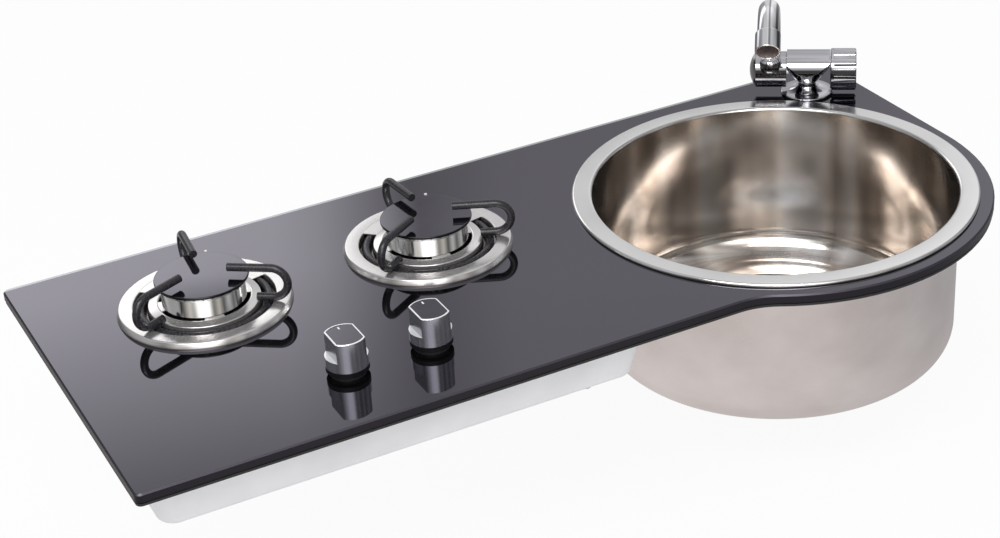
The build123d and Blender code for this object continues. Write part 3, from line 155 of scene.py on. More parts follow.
bands = ramp(
    sky_nodes, sky_links, sky_azimuth,
    [
        (around(azimuth), tuple(bright * share for share in tint))
        for azimuth, bright, tint in (
            (-180, 0.45, PLAIN), (-165, 0.10, WARM), (-148, 0.75, WARM), (-135, 0.12, WARM),
            (-118, 0.95, WARM), (-99, 0.95, WARM), (-88, 0.12, WARM), (-72, 0.65, WARM),
            (-58, 0.08, WARM), (-44, 0.60, PLAIN), (-30, 0.12, PLAIN), (-12, 0.55, PLAIN),
            (10, 0.20, PLAIN), (34, 0.60, PLAIN), (48, 1.05, PLAIN), (56, 0.74, PLAIN),
            (64.5, 0.74, PLAIN), (68, 0.48, PLAIN), (96, 0.45, PLAIN), (112, 0.14, PLAIN),
            (140, 0.35, PLAIN), (180, 0.45, PLAIN),
        )
    ],
)
bands_low, screen_width, screen_height, strip_width, strip_height, ceiling_share = (
    ramp(sky_nodes, sky_links, source, [(place, grey(tone)) for place, tone in stops])
    for source, stops in (
        (sky_height, ((0.41, 0.8), (0.49, 1.0))),
        (sky_azimuth, ((around(67.5), 0.0), (around(71.0), 1.35), (around(79.0), 1.60),
                       (around(96.0), 1.60), (around(112.0), 0.0))),
        (sky_height, ((0.25, 0.0), (0.40, 1.0), (0.475, 1.0), (0.515, 0.6), (0.555, 0.2),
                      (0.62, 0.0))),
        (sky_azimuth, ((around(-150), 0.0), (around(-128), 2.6), (around(-104), 2.6),
                       (around(-84), 0.0))),
        (sky_height, ((0.20, 0.0), (0.34, 1.0), (0.56, 1.0), (0.72, 0.0))),
        (sky_height, ((0.60, 0.0), (0.85, 0.7))),
    )
)
walls, screen, strip_light = (
    blend(sky_nodes, sky_links, "MULTIPLY", 1.0, width, height)
    for width, height in (
        (bands, bands_low), (screen_width, screen_height), (strip_width, strip_height)
    )
)
lights = blend(sky_nodes, sky_links, "ADD", 1.0, screen, strip_light)
lit_walls = blend(sky_nodes, sky_links, "ADD", 1.0, walls, lights)
mirrored = blend(sky_nodes, sky_links, "MIX", ceiling_share, lit_walls, CEILING)

sky_light = sky_nodes.new("ShaderNodeBackground")
sky_light.inputs["Color"].default_value = (0.97, 0.98, 1.0, 1.0)
sky_light.inputs["Strength"].default_value = 0.70
sky_mirrored = sky_nodes.new("ShaderNodeBackground")
sky_links.new(mirrored, sky_mirrored.inputs["Color"])
sky_seen = sky_nodes.new("ShaderNodeBackground")
sky_seen.inputs["Color"].default_value = WHITE
sky = seen_by(sky_nodes, sky_links, "Is Glossy Ray", 1.0, sky_light, sky_mirrored)
sky = seen_by(sky_nodes, sky_links, "Is Camera Ray", 1.0, sky, sky_seen)
sky_out = sky_nodes.new("ShaderNodeOutputWorld")
sky_links.new(sky.outputs[0], sky_out.inputs["Surface"])

FLOOR_LEVEL, FLOOR_REACH = -0.1885, 6.0
floor_mesh = bpy.data.meshes.new("studio_floor")
floor_mesh.from_pydata(
    [(x * FLOOR_REACH, y * FLOOR_REACH, FLOOR_LEVEL)
     for x, y in ((-1, -1), (1, -1), (1, 1), (-1, 1))],
    [], [(0, 1, 2, 3)],
)
studio_floor = bpy.data.objects.new("studio_floor", floor_mesh)
bpy.context.scene.collection.objects.link(studio_floor)
pale_floor = bpy.data.materials.new("pale_floor")
floor_nodes, floor_links = fresh(pale_floor)
floor_place = floor_nodes.new("ShaderNodeTexCoord").outputs["Object"]
floor_across = one_axis(floor_nodes, floor_links, floor_place, "X")
# Painted light: the floor's glow seen in reflections is brightest a little left of the middle and
# darker to the sides.
floor_painted_glow = ramp(
    floor_nodes, floor_links, scaled(floor_nodes, floor_links, floor_across, -1.0, 1.0),
    [(0.0, (0.50, 0.49, 0.49)), (0.47, (0.82, 0.78, 0.77)), (0.58, (0.66, 0.63, 0.62)),
     (0.75, (0.46, 0.45, 0.46)), (1.0, (0.55, 0.54, 0.55))],
)
floor_matt = floor_nodes.new("ShaderNodeBsdfDiffuse")
floor_matt.inputs["Color"].default_value = (0.86, 0.86, 0.86, 1.0)
floor_mirrored = floor_nodes.new("ShaderNodeEmission")
floor_links.new(floor_painted_glow, floor_mirrored.inputs["Color"])
floor_seen = floor_nodes.new("ShaderNodeEmission")
flooring = seen_by(floor_nodes, floor_links, "Is Glossy Ray", 1.0, floor_matt, floor_mirrored)
flooring = seen_by(floor_nodes, floor_links, "Is Camera Ray", 0.93, flooring, floor_seen)
floor_out = floor_nodes.new("ShaderNodeOutputMaterial")
floor_links.new(flooring.outputs[0], floor_out.inputs["Surface"])
floor_mesh.materials.append(pale_floor)

LAMP_PLACE = Vector((-1.1, -1.3, 2.2))
lamp_light = bpy.data.lights.new("key_lamp", "AREA")
lamp_light.shape = "RECTANGLE"
lamp_light.size, lamp_light.size_y = 2.0, 0.8
lamp_light.energy = 34.0
lamp_light.specular_factor = 0.35
key_lamp = bpy.data.objects.new("key_lamp", lamp_light)
bpy.context.scene.collection.objects.link(key_lamp)
key_lamp.matrix_world = (
    Matrix.Translation(LAMP_PLACE) @ LAMP_PLACE.to_track_quat("Z", "Y").to_matrix().to_4x4()
)

# ---------------------------------------------------------------- glass panel
# One sheet of toughened black glass, ground and polished round its edge. The light that gets in
# at the rear edge and comes out again is painted into its colour as a pale band. Everything else
# hangs from it or stands on it.
GLASS = 10.0  # top of the glass; the pieces are sized in mm
GLASS_IOR = 2.0
GLASS_TINT = (0.85, 0.79, 0.97, 1.0)
REAR_LIGHT_BAND = (0.1605, 0.1615)  # Y in metres where the pale band begins and is full


def finish(name, color, metallic, roughness, **inputs):
    """A material with one Principled shader; further inputs by name, with _ for a space."""
    material = bpy.data.materials.new(name)
    tree, links = fresh(material)
    out = tree.new("ShaderNodeOutputMaterial")
    shader = tree.new("ShaderNodeBsdfPrincipled")
    shader.name = "surface"
    links.new(shader.outputs[0], out.inputs["Surface"])
    shader.inputs["Base Color"].default_value = (*color, 1.0)
    shader.inputs["Metallic"].default_value = metallic
    shader.inputs["Roughness"].default_value = roughness
    for key, value in inputs.items():
        shader.inputs[key.replace("_", " ")].default_value = value
    return material


def opened(material):
    """The nodes, the links and the surface shader of a finish."""
    tree = material.node_tree.nodes
    return tree, material.node_tree.links, tree["surface"]


def dress(material, *names):
    """Puts a material on CAD nodes in place of the plain one."""
    for name in names:
        for spot in nodes[name].material_slots:
            spot.material = material


black_glass = finish(
    "black_glass", (0.003, 0.003, 0.003), 0.0, 0.03, IOR=GLASS_IOR, Specular_Tint=GLASS_TINT
)
glass_tree, glass_links, glass_shader = opened(black_glass)
glass_place = glass_tree.new("ShaderNodeTexCoord").outputs["Object"]
glass_rear = one_axis(glass_tree, glass_links, glass_place, "Y")
# Painted light: the pale band along the rear edge is put in the glass's base colour.
glass_links.new(
    ramp(glass_tree, glass_links, scaled(glass_tree, glass_links, glass_rear, *REAR_LIGHT_BAND),
         [(0.0, (0.003, 0.003, 0.0035)), (1.0, (0.38, 0.40, 0.40))]),
    glass_shader.inputs["Base Color"],
)

# The ground edge is duller than the top: both values follow how far a face looks up.
glass_normal = glass_tree.new("ShaderNodeNewGeometry").outputs["Normal"]
glass_upward = one_axis(glass_tree, glass_links, glass_normal, "Z")
for key, tilted, level, edge_value, top_value in (
    ("Specular IOR Level", 0.3, 0.6, 0.16, 0.5), ("Roughness", 0.9, 0.99, 0.4, 0.03),
):
    glass_links.new(
        scaled(glass_tree, glass_links, glass_upward, tilted, level, edge_value, top_value),
        glass_shader.inputs[key],
    )
dress(black_glass, "glass_panel")

# ---------------------------------------------------------------- seals
# Closed-cell black rubber: a foam strip under the panel's edge, and gaskets cut from sheet under
# the bowl's flange, the waste, the tap and the knobs' shafts. All are stuck or clamped.


def about(tree, links, centre, stretch=(1, 1, 1)):
    """Object coordinates stretched and then measured from an upright axis at a centre in mm."""
    shift = tree.new("ShaderNodeMapping")
    shift.inputs["Location"].default_value = (-centre[0] / 1000, -centre[1] / 1000, 0)
    shift.inputs["Scale"].default_value = stretch
    links.new(tree.new("ShaderNodeTexCoord").outputs["Object"], shift.inputs["Vector"])
    return shift.outputs["Vector"]


def relieved(material, source, rough, bump, depth):
    """Roughness and, with a bump, relief of a depth in metres that follow a noise socket."""
    tree, links, shader = opened(material)
    links.new(scaled(tree, links, source, 0.3, 0.7, *rough), shader.inputs["Roughness"])
    if bump:
        relief = tree.new("ShaderNodeBump")
        relief.inputs["Strength"].default_value = bump
        relief.inputs["Distance"].default_value = depth
        links.new(source, relief.inputs["Height"])
        links.new(relief.outputs["Normal"], shader.inputs["Normal"])
    return material


def mottle(material, scale, dark, light, rough, bump=0.0, stretch=(1, 1, 1), detail=4.0,
           reach=(0.3, 0.7)):
    """Cloudy change of colour and gloss: noise on Object coordinates, dark at the low end of its
    reach and light at the high end."""
    tree, links, shader = opened(material)
    clouds = tree.new("ShaderNodeTexNoise")
    clouds.inputs["Scale"].default_value = scale
    clouds.inputs["Detail"].default_value = detail
    links.new(about(tree, links, (0, 0), stretch), clouds.inputs["Vector"])
    links.new(
        ramp(tree, links, clouds.outputs["Fac"], [(reach[0], dark), (reach[1], light)]),
        shader.inputs["Base Color"],
    )
    return relieved(material, clouds.outputs["Fac"], rough, bump, 0.0004)


rubber = mottle(
    finish("rubber", (0.02, 0.02, 0.022), 0.0, 0.6),
    900, (0.014, 0.014, 0.015), (0.026, 0.026, 0.028), (0.5, 0.7), bump=0.3,
)
dress(rubber, "panel_seal", "sink_gasket", "waste_gasket", "tap_gasket", "shaft_seal_1",
      "shaft_seal_2")

# ---------------------------------------------------------------- bowl
# Stainless sheet, drawn in one piece with its rolled flange: polished inside, satin outside. It
# hangs in the glass by the flange.
BOWL = (174.0, -23.0)
BOWL_SHEET = 1.0
RIM, RIM_LIP = GLASS + 3.0, GLASS + 0.8
RIM_RADIUS, MOUTH_RADIUS, WALL_FOOT, FLOOR_RADIUS = 166, 149, 148.3, 104
BOWL_FLOOR = RIM - 142.0
WELL_RADIUS, WELL_HOLE, WELL_FLOOR = 38, 26, BOWL_FLOOR - 9.5
ON_AXIS = (True, False)  # grids that are round and whose profile ends on the axis


def rounded(points, radii, step=6.0):
    """Line through the points whose inner corners are tangent arcs: each corner is left by
    radius / tan(half its angle) on both sides and joined by points of the arc, one at least
    every step degrees."""
    points = [np.array(point, float) for point in points]
    line = [points[0]]
    for before, corner, after, radius in zip(points, points[1:], points[2:], radii):
        back = (before - corner) / np.linalg.norm(before - corner)
        ahead = (after - corner) / np.linalg.norm(after - corner)
        half = np.arccos(np.clip(back @ ahead, -1, 1)) / 2
        middle = (back + ahead) / np.linalg.norm(back + ahead)
        centre = corner + middle * radius / np.sin(half)
        first = corner + back * radius / np.tan(half) - centre
        last = corner + ahead * radius / np.tan(half) - centre
        turn = pi - 2 * half
        share = np.linspace(0, 1, max(3, int(np.degrees(turn) / step) + 2))[:, None]
        arc = np.sin((1 - share) * turn) * first + np.sin(share * turn) * last
        line.extend(centre + arc / np.sin(turn))
    line.append(points[-1])
    return np.array(line)


def sheet(line, thickness):
    """Closed profile of a sheet along a line: the line, and back along its copy moved to its
    left by the thickness, square to the mean direction at each point."""
    ahead = np.gradient(line, axis=0)
    ahead /= np.linalg.norm(ahead, axis=1)[:, None]
    beside = line + thickness * np.column_stack((-ahead[:, 1], ahead[:, 0]))
    return np.vstack((line, beside[::-1]))


def lathe(profile, centre, axis=(0, 0, 1), start=(1, 0, 0), turns=256):
    """Grid of a solid of revolution from a profile of (radius, distance) in mm: centre +
    distance * axis + radius * (cos a * start + sin a * axis x start), a once round."""
    axis, start = np.array(axis, float), np.array(start, float)
    angle = np.linspace(0, 2 * pi, turns, endpoint=False)[:, None, None]
    spoke = np.cos(angle) * start + np.sin(angle) * np.cross(axis, start)
    return np.array(centre, float) + profile[:, 1:] * axis + profile[:, :1] * spoke


def skin(name, grid, body, material, wrap=(True, True), sharp=32.0):
    """Mesh piece over a grid of points in mm that closes along its rows, its columns or both.
    Doubled points are merged and the faces turned outwards."""
    rows, columns = grid.shape[:2]
    index = np.arange(rows * columns).reshape(rows, columns)
    below = np.roll(index, -1, axis=0)
    quads = np.stack(
        (index, below, np.roll(below, -1, axis=1), np.roll(index, -1, axis=1)), axis=-1
    )
    quads = quads[: rows if wrap[0] else -1, : columns if wrap[1] else -1].reshape(-1, 4)
    mesh = bpy.data.meshes.new(name)
    mesh.from_pydata((grid.reshape(-1, 3) / 1000).tolist(), [], quads.tolist())
    shell = bmesh.new()
    shell.from_mesh(mesh)
    bmesh.ops.remove_doubles(shell, verts=shell.verts, dist=1e-6)
    bmesh.ops.recalc_face_normals(shell, faces=shell.faces)
    shell.to_mesh(mesh)
    shell.free()
    mesh.shade_smooth()
    mesh.set_sharp_from_angle(angle=radians(sharp))
    mesh.materials.append(material)
    piece = bpy.data.objects.new(name, mesh)
    bpy.context.scene.collection.objects.link(piece)
    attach(piece, body)
    return piece


def stands_for(node):
    """Hides a CAD node, whose place a piece takes."""
    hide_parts(node)


def each_face(piece, value):
    """The center (in mm) or the normal of every face, in rows of three."""
    values = np.empty(3 * len(piece.data.polygons))
    piece.data.polygons.foreach_get(value, values)
    return values.reshape(-1, 3) * (1000 if value == "center" else 1)


def recoat(piece, chosen, material):
    """Gives the chosen faces of a piece another material."""
    index = np.empty(len(piece.data.polygons), dtype=np.int32)
    piece.data.polygons.foreach_get("material_index", index)
    index[chosen] = len(piece.data.materials)
    piece.data.materials.append(material)
    piece.data.polygons.foreach_set("material_index", index)


def toned(material, tones):
    """Multiplies the colour of a finish by a colour socket."""
    tree, links, shader = opened(material)
    base = shader.inputs["Base Color"]
    plain = base.links[0].from_socket if base.is_linked else tuple(base.default_value)
    links.new(blend(tree, links, "MULTIPLY", 1.0, plain, tones), base)
    return material


def painted_shade_below(material, low, high, tone):
    """Paints shade into a finish towards the bottom: darkens it by the tone at the low height, not
    at all from the high one upwards; heights in mm."""
    tree, links, _ = opened(material)
    level = one_axis(tree, links, tree.new("ShaderNodeTexCoord").outputs["Object"], "Z")
    return toned(material, ramp(
        tree, links, scaled(tree, links, level, low / 1000, high / 1000),
        [(0.0, (tone, tone * 0.95, tone * 0.92)), (1.0, (1.0, 1.0, 1.0))],
    ))


# Polished inside, with painted reflections: soft upright streaks, and a tone for each direction
# from the bowl's axis.
bowl_inside = mottle(
    finish("bowl_inside", (0.64, 0.57, 0.51), 1.0, 0.15),
    30, (0.95, 0.92, 0.89), (1.05, 1.04, 1.03), (0.11, 0.16), stretch=(1, 1, 0.04), detail=2.0,
    reach=(0.38, 0.62),
)
inside_tree, inside_links, _ = opened(bowl_inside)
inside_reflection_sweep = inside_tree.new("ShaderNodeTexGradient")
inside_reflection_sweep.gradient_type = "RADIAL"
inside_links.new(about(inside_tree, inside_links, BOWL), inside_reflection_sweep.inputs["Vector"])
# Painted reflections: a warm tone for each direction round the bowl, brighter than the steel
# itself in places.
toned(bowl_inside, ramp(
    inside_tree, inside_links, inside_reflection_sweep.outputs["Fac"],
    [
        (around(azimuth), (tone, tone * green, tone * blue))
        for azimuth, tone, green, blue in (
            (-180, 0.78, 0.97, 0.94), (-60, 0.72, 0.97, 0.94), (-19, 0.50, 0.94, 0.89),
            (-3, 0.54, 0.95, 0.90), (7, 0.55, 0.95, 0.90), (15, 0.76, 0.96, 0.92),
            (23, 0.58, 0.95, 0.90), (30, 1.10, 0.98, 0.95), (35, 0.66, 0.95, 0.91),
            (41, 1.20, 1.00, 1.00), (50, 1.35, 1.00, 1.01), (57, 0.90, 0.99, 0.97),
            (65, 0.62, 0.95, 0.91), (72, 0.90, 0.96, 0.92), (81, 1.30, 0.98, 0.94),
            (87, 0.68, 0.95, 0.91), (97, 0.92, 0.97, 0.94), (106, 0.64, 0.95, 0.90),
            (120, 0.62, 0.95, 0.90), (136, 0.52, 0.94, 0.89), (160, 0.70, 0.96, 0.92),
            (180, 0.78, 0.97, 0.94),
        )
    ],
))
# Painted shade: the inside grows darker and warmer towards the bowl's floor.
painted_shade_below(bowl_inside, BOWL_FLOOR - 1.0, BOWL_FLOOR + 16.0, 0.62)
bowl_outside = mottle(
    finish("bowl_outside", (0.76, 0.72, 0.70), 1.0, 0.3),
    11, (0.66, 0.61, 0.59), (0.86, 0.82, 0.81), (0.26, 0.42), stretch=(1, 1, 1.4), detail=5.0,
)
bowl_rim = mottle(
    finish("bowl_rim", (0.82, 0.81, 0.80), 1.0, 0.2),
    14, (0.78, 0.77, 0.76), (0.88, 0.87, 0.86), (0.16, 0.24),
)

# Profile: lip and top of the flange, wall, floor with its step, and the well for the waste.
bowl_line = rounded(
    [(RIM_RADIUS, RIM_LIP), (RIM_RADIUS, RIM), (MOUTH_RADIUS, RIM), (WALL_FOOT, BOWL_FLOOR),
     (FLOOR_RADIUS, BOWL_FLOOR), (FLOOR_RADIUS - 5, BOWL_FLOOR - 2.5),
     (WELL_RADIUS + 4, BOWL_FLOOR - 5.5), (WELL_RADIUS, WELL_FLOOR), (WELL_HOLE, WELL_FLOOR)],
    [1.9, 3.0, 24.0, 3.0, 4.0, 3.0, 1.5],
)
bowl = skin(
    "bowl_shell", lathe(sheet(bowl_line, BOWL_SHEET), (*BOWL, 0)), "panel", bowl_inside
)

# Satin where a face looks outwards below the glass or downwards; bright on top of the flange.
middles, normals = each_face(bowl, "center"), each_face(bowl, "normal")
spokes = middles[:, :2] - BOWL
radii = np.linalg.norm(spokes, axis=1)
outwards = (normals[:, :2] * spokes).sum(1) / radii
satin = ((outwards > 0.2) & (middles[:, 2] < GLASS)) | (normals[:, 2] < -0.3)
flange = (radii > MOUTH_RADIUS - 0.1) & (middles[:, 2] > RIM_LIP + 0.1) & ~satin
recoat(bowl, satin, bowl_outside)
recoat(bowl, flange, bowl_rim)
stands_for("sink_bowl")

# ---------------------------------------------------------------- brackets, clamps and tray
# Zinc-plated steel: brackets that pull the bowl down on its gasket, the pressed tray below the
# burners, and clamp arms that turn under the worktop. Bright steel screws hold them.
zinc = mottle(
    finish("zinc", (0.80, 0.80, 0.81), 0.1, 0.45),
    22, (0.80, 0.80, 0.81), (0.88, 0.88, 0.89), (0.4, 0.55),
)
dress(zinc, "burner_tray", "bowl_brackets", "clamp_arms")
bright_steel = mottle(
    finish("bright_steel", (0.80, 0.79, 0.78), 1.0, 0.2),
    120, (0.74, 0.73, 0.72), (0.82, 0.81, 0.80), (0.16, 0.28),
)
dress(bright_steel, "bowl_screws", "clamp_screws")

# ---------------------------------------------------------------- waste
# A bright flange in the bowl's well, screwed to a black moulded body with the hose tail below;
# a pale rubber plug lies on the grid.
matt_black = mottle(
    finish("matt_black", (0.006, 0.006, 0.007), 0.0, 0.5, Specular_IOR_Level=0.25),
    500, (0.004, 0.004, 0.005), (0.008, 0.008, 0.009), (0.45, 0.6), bump=0.2,
)
pale_rubber = mottle(
    finish("pale_rubber", (0.5, 0.5, 0.5), 0.0, 0.5),
    600, (0.42, 0.42, 0.43), (0.52, 0.52, 0.53), (0.4, 0.6), bump=0.2,
)
dress(bright_steel, "waste_flange", "waste_screw")
dress(matt_black, "waste_body")
dress(pale_rubber, "waste_plug")

# ---------------------------------------------------------------- gas fittings
# Cast burner bases and drawn aluminium pipes from the manifold; brass valves and injectors
# turned from bar. They sit in the tray, with the valves' steel stems through the glass.
cast_alloy = mottle(
    finish("cast_alloy", (0.6, 0.6, 0.61), 1.0, 0.4),
    260, (0.5, 0.5, 0.51), (0.66, 0.66, 0.67), (0.35, 0.5), bump=0.3,
)
dress(cast_alloy, "burner_base_1", "burner_base_2", "feed_pipe_1", "feed_pipe_2",
      "gas_manifold")
brass = mottle(
    finish("brass", (0.75, 0.58, 0.3), 1.0, 0.3),
    150, (0.68, 0.52, 0.26), (0.78, 0.61, 0.33), (0.25, 0.4),
)
dress(brass, "injector_1", "injector_2", "gas_valve_1", "gas_valve_2")
dress(bright_steel, "valve_stem_1", "valve_stem_2")

# ---------------------------------------------------------------- drip rings
# Pressed and brushed steel: an outer shoulder, a groove for the wire ring and a raised island
# round the cup. Four lugs reach in to the cup, and a tongue bridges the groove at the rear.
BURNERS = {1: ((-294.0, 54.0), -156.0), 2: ((-108.0, 46.0), -146.0)}  # centre, first arm's way
ARM_STEP = 120.0
DRIP_SHEET = 0.8
DRIP_RADIUS, DRIP_TOP = 68, GLASS + 5.0
GROOVE, GROOVE_OUTER, GROOVE_INNER = GLASS - 2.6, 55, 43.5
ISLAND_TOP, ISLAND_EDGE = DRIP_TOP + 1.7, 35.2
WIRE_RING = 49.5  # radius at the middle of the wire
FIRST_LUG, LUG_HALF, LUG_INNER, LUG_OUTER = -97.0, 12.5, 32.6, 35.8
TONGUE_START, TONGUE_END, TONGUE_STEPS = 12.0, 136.0, 320
TONGUE_LAP = 0.3  # over each side of the groove
FOOT_HOLE = 4.5  # radius of the hole in the tongue for the rear arm's foot
BAR = (False, True)  # grids of bars and strips, closed by their end points


def strip(centre, inner, outer, top, thickness, start, end, steps):
    """Grid of a flat strip bent round a centre: at each angle between start and end a rectangle
    from the inner to the outer radius, which may change with the angle; the ends are closed."""
    angle = np.radians(np.linspace(start, end, steps))
    radius = np.stack((inner + 0 * angle, outer + 0 * angle), axis=1)[:, [0, 1, 1, 0]]
    height = np.array((top, top, top - thickness, top - thickness)) + 0 * radius
    grid = np.stack(
        (
            centre[0] + radius * np.cos(angle)[:, None],
            centre[1] + radius * np.sin(angle)[:, None],
            height,
        ),
        axis=-1,
    )
    ends = [np.repeat(grid[end].mean(0)[None, None], 4, axis=1) for end in (0, -1)]
    return np.concatenate((ends[0], grid, ends[1]))


def turned(material, centre, pitch, rough, bump):
    """Fine rings of a lathe or a rotary brush: noise over the distance from an upright axis."""
    tree, links, _ = opened(material)
    reach = tree.new("ShaderNodeVectorMath")
    reach.operation = "LENGTH"
    links.new(about(tree, links, centre, (1, 1, 0)), reach.inputs[0])
    rings = tree.new("ShaderNodeTexNoise")
    rings.noise_dimensions = "1D"
    rings.inputs["Scale"].default_value = 1 / pitch
    rings.inputs["Detail"].default_value = 3.0
    links.new(reach.outputs["Value"], rings.inputs["W"])
    return relieved(material, rings.outputs["Fac"], rough, bump, 0.0002)


# Profile: shoulder, groove, island and its turned-down inner edge.
drip_line = rounded(
    [(DRIP_RADIUS, GLASS), (DRIP_RADIUS, GLASS + 1), (DRIP_RADIUS - 1.7, DRIP_TOP),
     (GROOVE_OUTER, DRIP_TOP), (GROOVE_OUTER, GROOVE), (GROOVE_INNER, GROOVE),
     (GROOVE_INNER, DRIP_TOP), (ISLAND_EDGE, ISLAND_TOP), (ISLAND_EDGE, ISLAND_TOP - 3.5)],
    [1.2, 1.6, 0.8, 1.0, 1.0, 0.8, 1.4],
)
tongue = np.linspace(TONGUE_START, TONGUE_END, TONGUE_STEPS)
for number, (centre, first_arm) in BURNERS.items():
    # Painted shade: the outer skirt is darkened towards the glass, as a contact shadow.
    drip_steel = painted_shade_below(
        turned(
            finish(f"drip_steel_{number}", (0.78, 0.76, 0.75), 0.85, 0.25),
            centre, 0.0006, (0.16, 0.26), 0.12,
        ),
        GLASS - 1.0, GLASS + 2.5, 0.22,
    )
    plate = skin(f"drip_plate_{number}", lathe(sheet(drip_line, DRIP_SHEET), (*centre, 0)),
                 "panel", drip_steel)
    stands_for(f"drip_ring_{number}")
    for lug in range(4):
        way = FIRST_LUG + 90 * lug
        skin(f"drip_lug_{number}_{lug + 1}",
             strip(centre, LUG_INNER, LUG_OUTER, ISLAND_TOP, DRIP_SHEET, way - LUG_HALF,
                   way + LUG_HALF, 20),
             "panel", drip_steel, BAR)

    # Half the hole's width at each angle: the circle about the rear arm's foot.
    off_foot = WIRE_RING * np.radians(tongue - (first_arm + 2 * ARM_STEP))
    gap = np.sqrt(np.clip(FOOT_HOLE**2 - off_foot**2, 0, None))
    for side, inner, outer in (
        ("inner", GROOVE_INNER - TONGUE_LAP, WIRE_RING - gap),
        ("outer", WIRE_RING + gap, GROOVE_OUTER + TONGUE_LAP),
    ):
        skin(f"drip_tongue_{side}_{number}",
             strip(centre, inner, outer, DRIP_TOP, DRIP_SHEET, TONGUE_START, TONGUE_END,
                   TONGUE_STEPS),
             "panel", drip_steel, BAR)

# ---------------------------------------------------------------- pan supports
# Round steel wire under black enamel: a ring that lies in the groove, and three arms bent like
# hairpins and welded onto it.
WIRE_RADIUS, WELD_RADIUS = 3.2, 2.7
RING_LEVEL = GLASS + 0.8
ARM_FOOT, ARM_TOP = GLASS + 8.5, GLASS + 33.5
ARM_START, ARM_REACH, ARM_TIP, ARM_BEND = 42.5, 67.5, 21.5, 12.5


def tube(path, radius, across, turns=40):
    """Grid of a round bar along a flat path in mm: path + radius * (cos a * across x ahead +
    sin a * across), a once round; the end rings shrink to the path's ends and close it."""
    ahead = np.gradient(path, axis=0)
    ahead /= np.linalg.norm(ahead, axis=1)[:, None]
    across = np.array(across, float)
    angle = np.linspace(0, 2 * pi, turns, endpoint=False)[None, :, None]
    ring = np.cos(angle) * np.cross(across, ahead)[:, None] + np.sin(angle) * across
    grid = path[:, None] + radius * ring
    ends = [np.repeat(path[end][None, None], turns, axis=1) for end in (0, -1)]
    return np.concatenate((ends[0], grid, ends[1]))


wire_enamel = mottle(
    finish("wire_enamel", (0.022, 0.021, 0.023), 0.0, 0.3),
    700, (0.018, 0.016, 0.020), (0.034, 0.031, 0.037), (0.22, 0.34), bump=0.25,
)
hoop = np.linspace(0, 2 * pi, 40, endpoint=False)
hoop = np.column_stack(
    (WIRE_RING + WIRE_RADIUS * np.cos(hoop), RING_LEVEL + WIRE_RADIUS * np.sin(hoop))
)
arm_line = rounded(
    [(ARM_START, ARM_FOOT), (ARM_REACH, ARM_FOOT), (ARM_REACH, ARM_TOP), (ARM_TIP, ARM_TOP)],
    [ARM_BEND, ARM_BEND],
)
for number, (centre, first_arm) in BURNERS.items():
    axis_foot = np.array((*centre, 0))
    wire_ring = skin(f"wire_ring_{number}", lathe(hoop, axis_foot), "panel", wire_enamel)
    stands_for(f"pan_support_{number}")
    for arm in range(3):
        way = radians(first_arm + ARM_STEP * arm)
        spoke, across = np.array((cos(way), sin(way), 0)), np.array((-sin(way), cos(way), 0))
        path = axis_foot + arm_line[:, :1] * spoke + arm_line[:, 1:] * (0, 0, 1)
        skin(f"wire_arm_{number}_{arm + 1}", tube(path, WIRE_RADIUS, across), "panel",
             wire_enamel, BAR)
        weld = axis_foot + spoke * WIRE_RING + np.outer(
            np.linspace(RING_LEVEL, ARM_FOOT, 5), (0, 0, 1)
        )
        skin(f"wire_weld_{number}_{arm + 1}", tube(weld, WELD_RADIUS, across, 24), "panel",
             wire_enamel, BAR)

# ---------------------------------------------------------------- burner cups, heads and caps
# A spun steel cup, a cast head whose slots let the flame out, and a flat cap in gloss enamel
# over it. They drop into each other.
CUP_RADIUS, CUP_HOLE, CUP_SHEET = 32.5, 9, 1.0
CUP_FLOOR, CUP_TOP = GLASS - 22, GLASS + 21.0
HEAD_BORE, HEAD_NECK, HEAD_RADIUS = 24, 31.4, 33.6
PORTS, PORT_DEPTH = 30, 1.8
PORT_SHARE = 0.114  # half a slot's width as a share of the slots' distance
HEAD_TURNS = 720
CAP_RADIUS, CAP_LOW = 36.5, CUP_TOP + 2.8
CAP_TOP = CAP_LOW + 2.4


def lift(material, rise):
    """Leans a wall's shading upwards, as on a drawn wall that is slightly hollow: the normal
    plus rise times up, scaled back to unit length."""
    tree, links, shader = opened(material)
    lean = tree.new("ShaderNodeVectorMath")
    lean.operation = "ADD"
    lean.inputs[1].default_value = (0.0, 0.0, rise)
    unit = tree.new("ShaderNodeVectorMath")
    unit.operation = "NORMALIZE"
    links.new(tree.new("ShaderNodeNewGeometry").outputs["Normal"], lean.inputs[0])
    links.new(lean.outputs["Vector"], unit.inputs[0])
    links.new(unit.outputs["Vector"], shader.inputs["Normal"])
    return material


cup_steel = lift(
    mottle(
        finish("cup_steel", (0.84, 0.83, 0.81), 1.0, 0.1),
        90, (0.80, 0.79, 0.77), (0.88, 0.87, 0.86), (0.10, 0.18), stretch=(1, 1, 0.1),
    ),
    0.40,
)
head_alloy = mottle(
    finish("head_alloy", (0.7, 0.7, 0.71), 1.0, 0.2),
    200, (0.62, 0.62, 0.63), (0.74, 0.74, 0.75), (0.16, 0.26),
)
cap_enamel = mottle(
    finish("cap_enamel", (0.004, 0.004, 0.005), 0.0, 0.05, IOR=GLASS_IOR,
           Specular_Tint=GLASS_TINT),
    90, (0.003, 0.003, 0.004), (0.006, 0.005, 0.007), (0.04, 0.08),
)
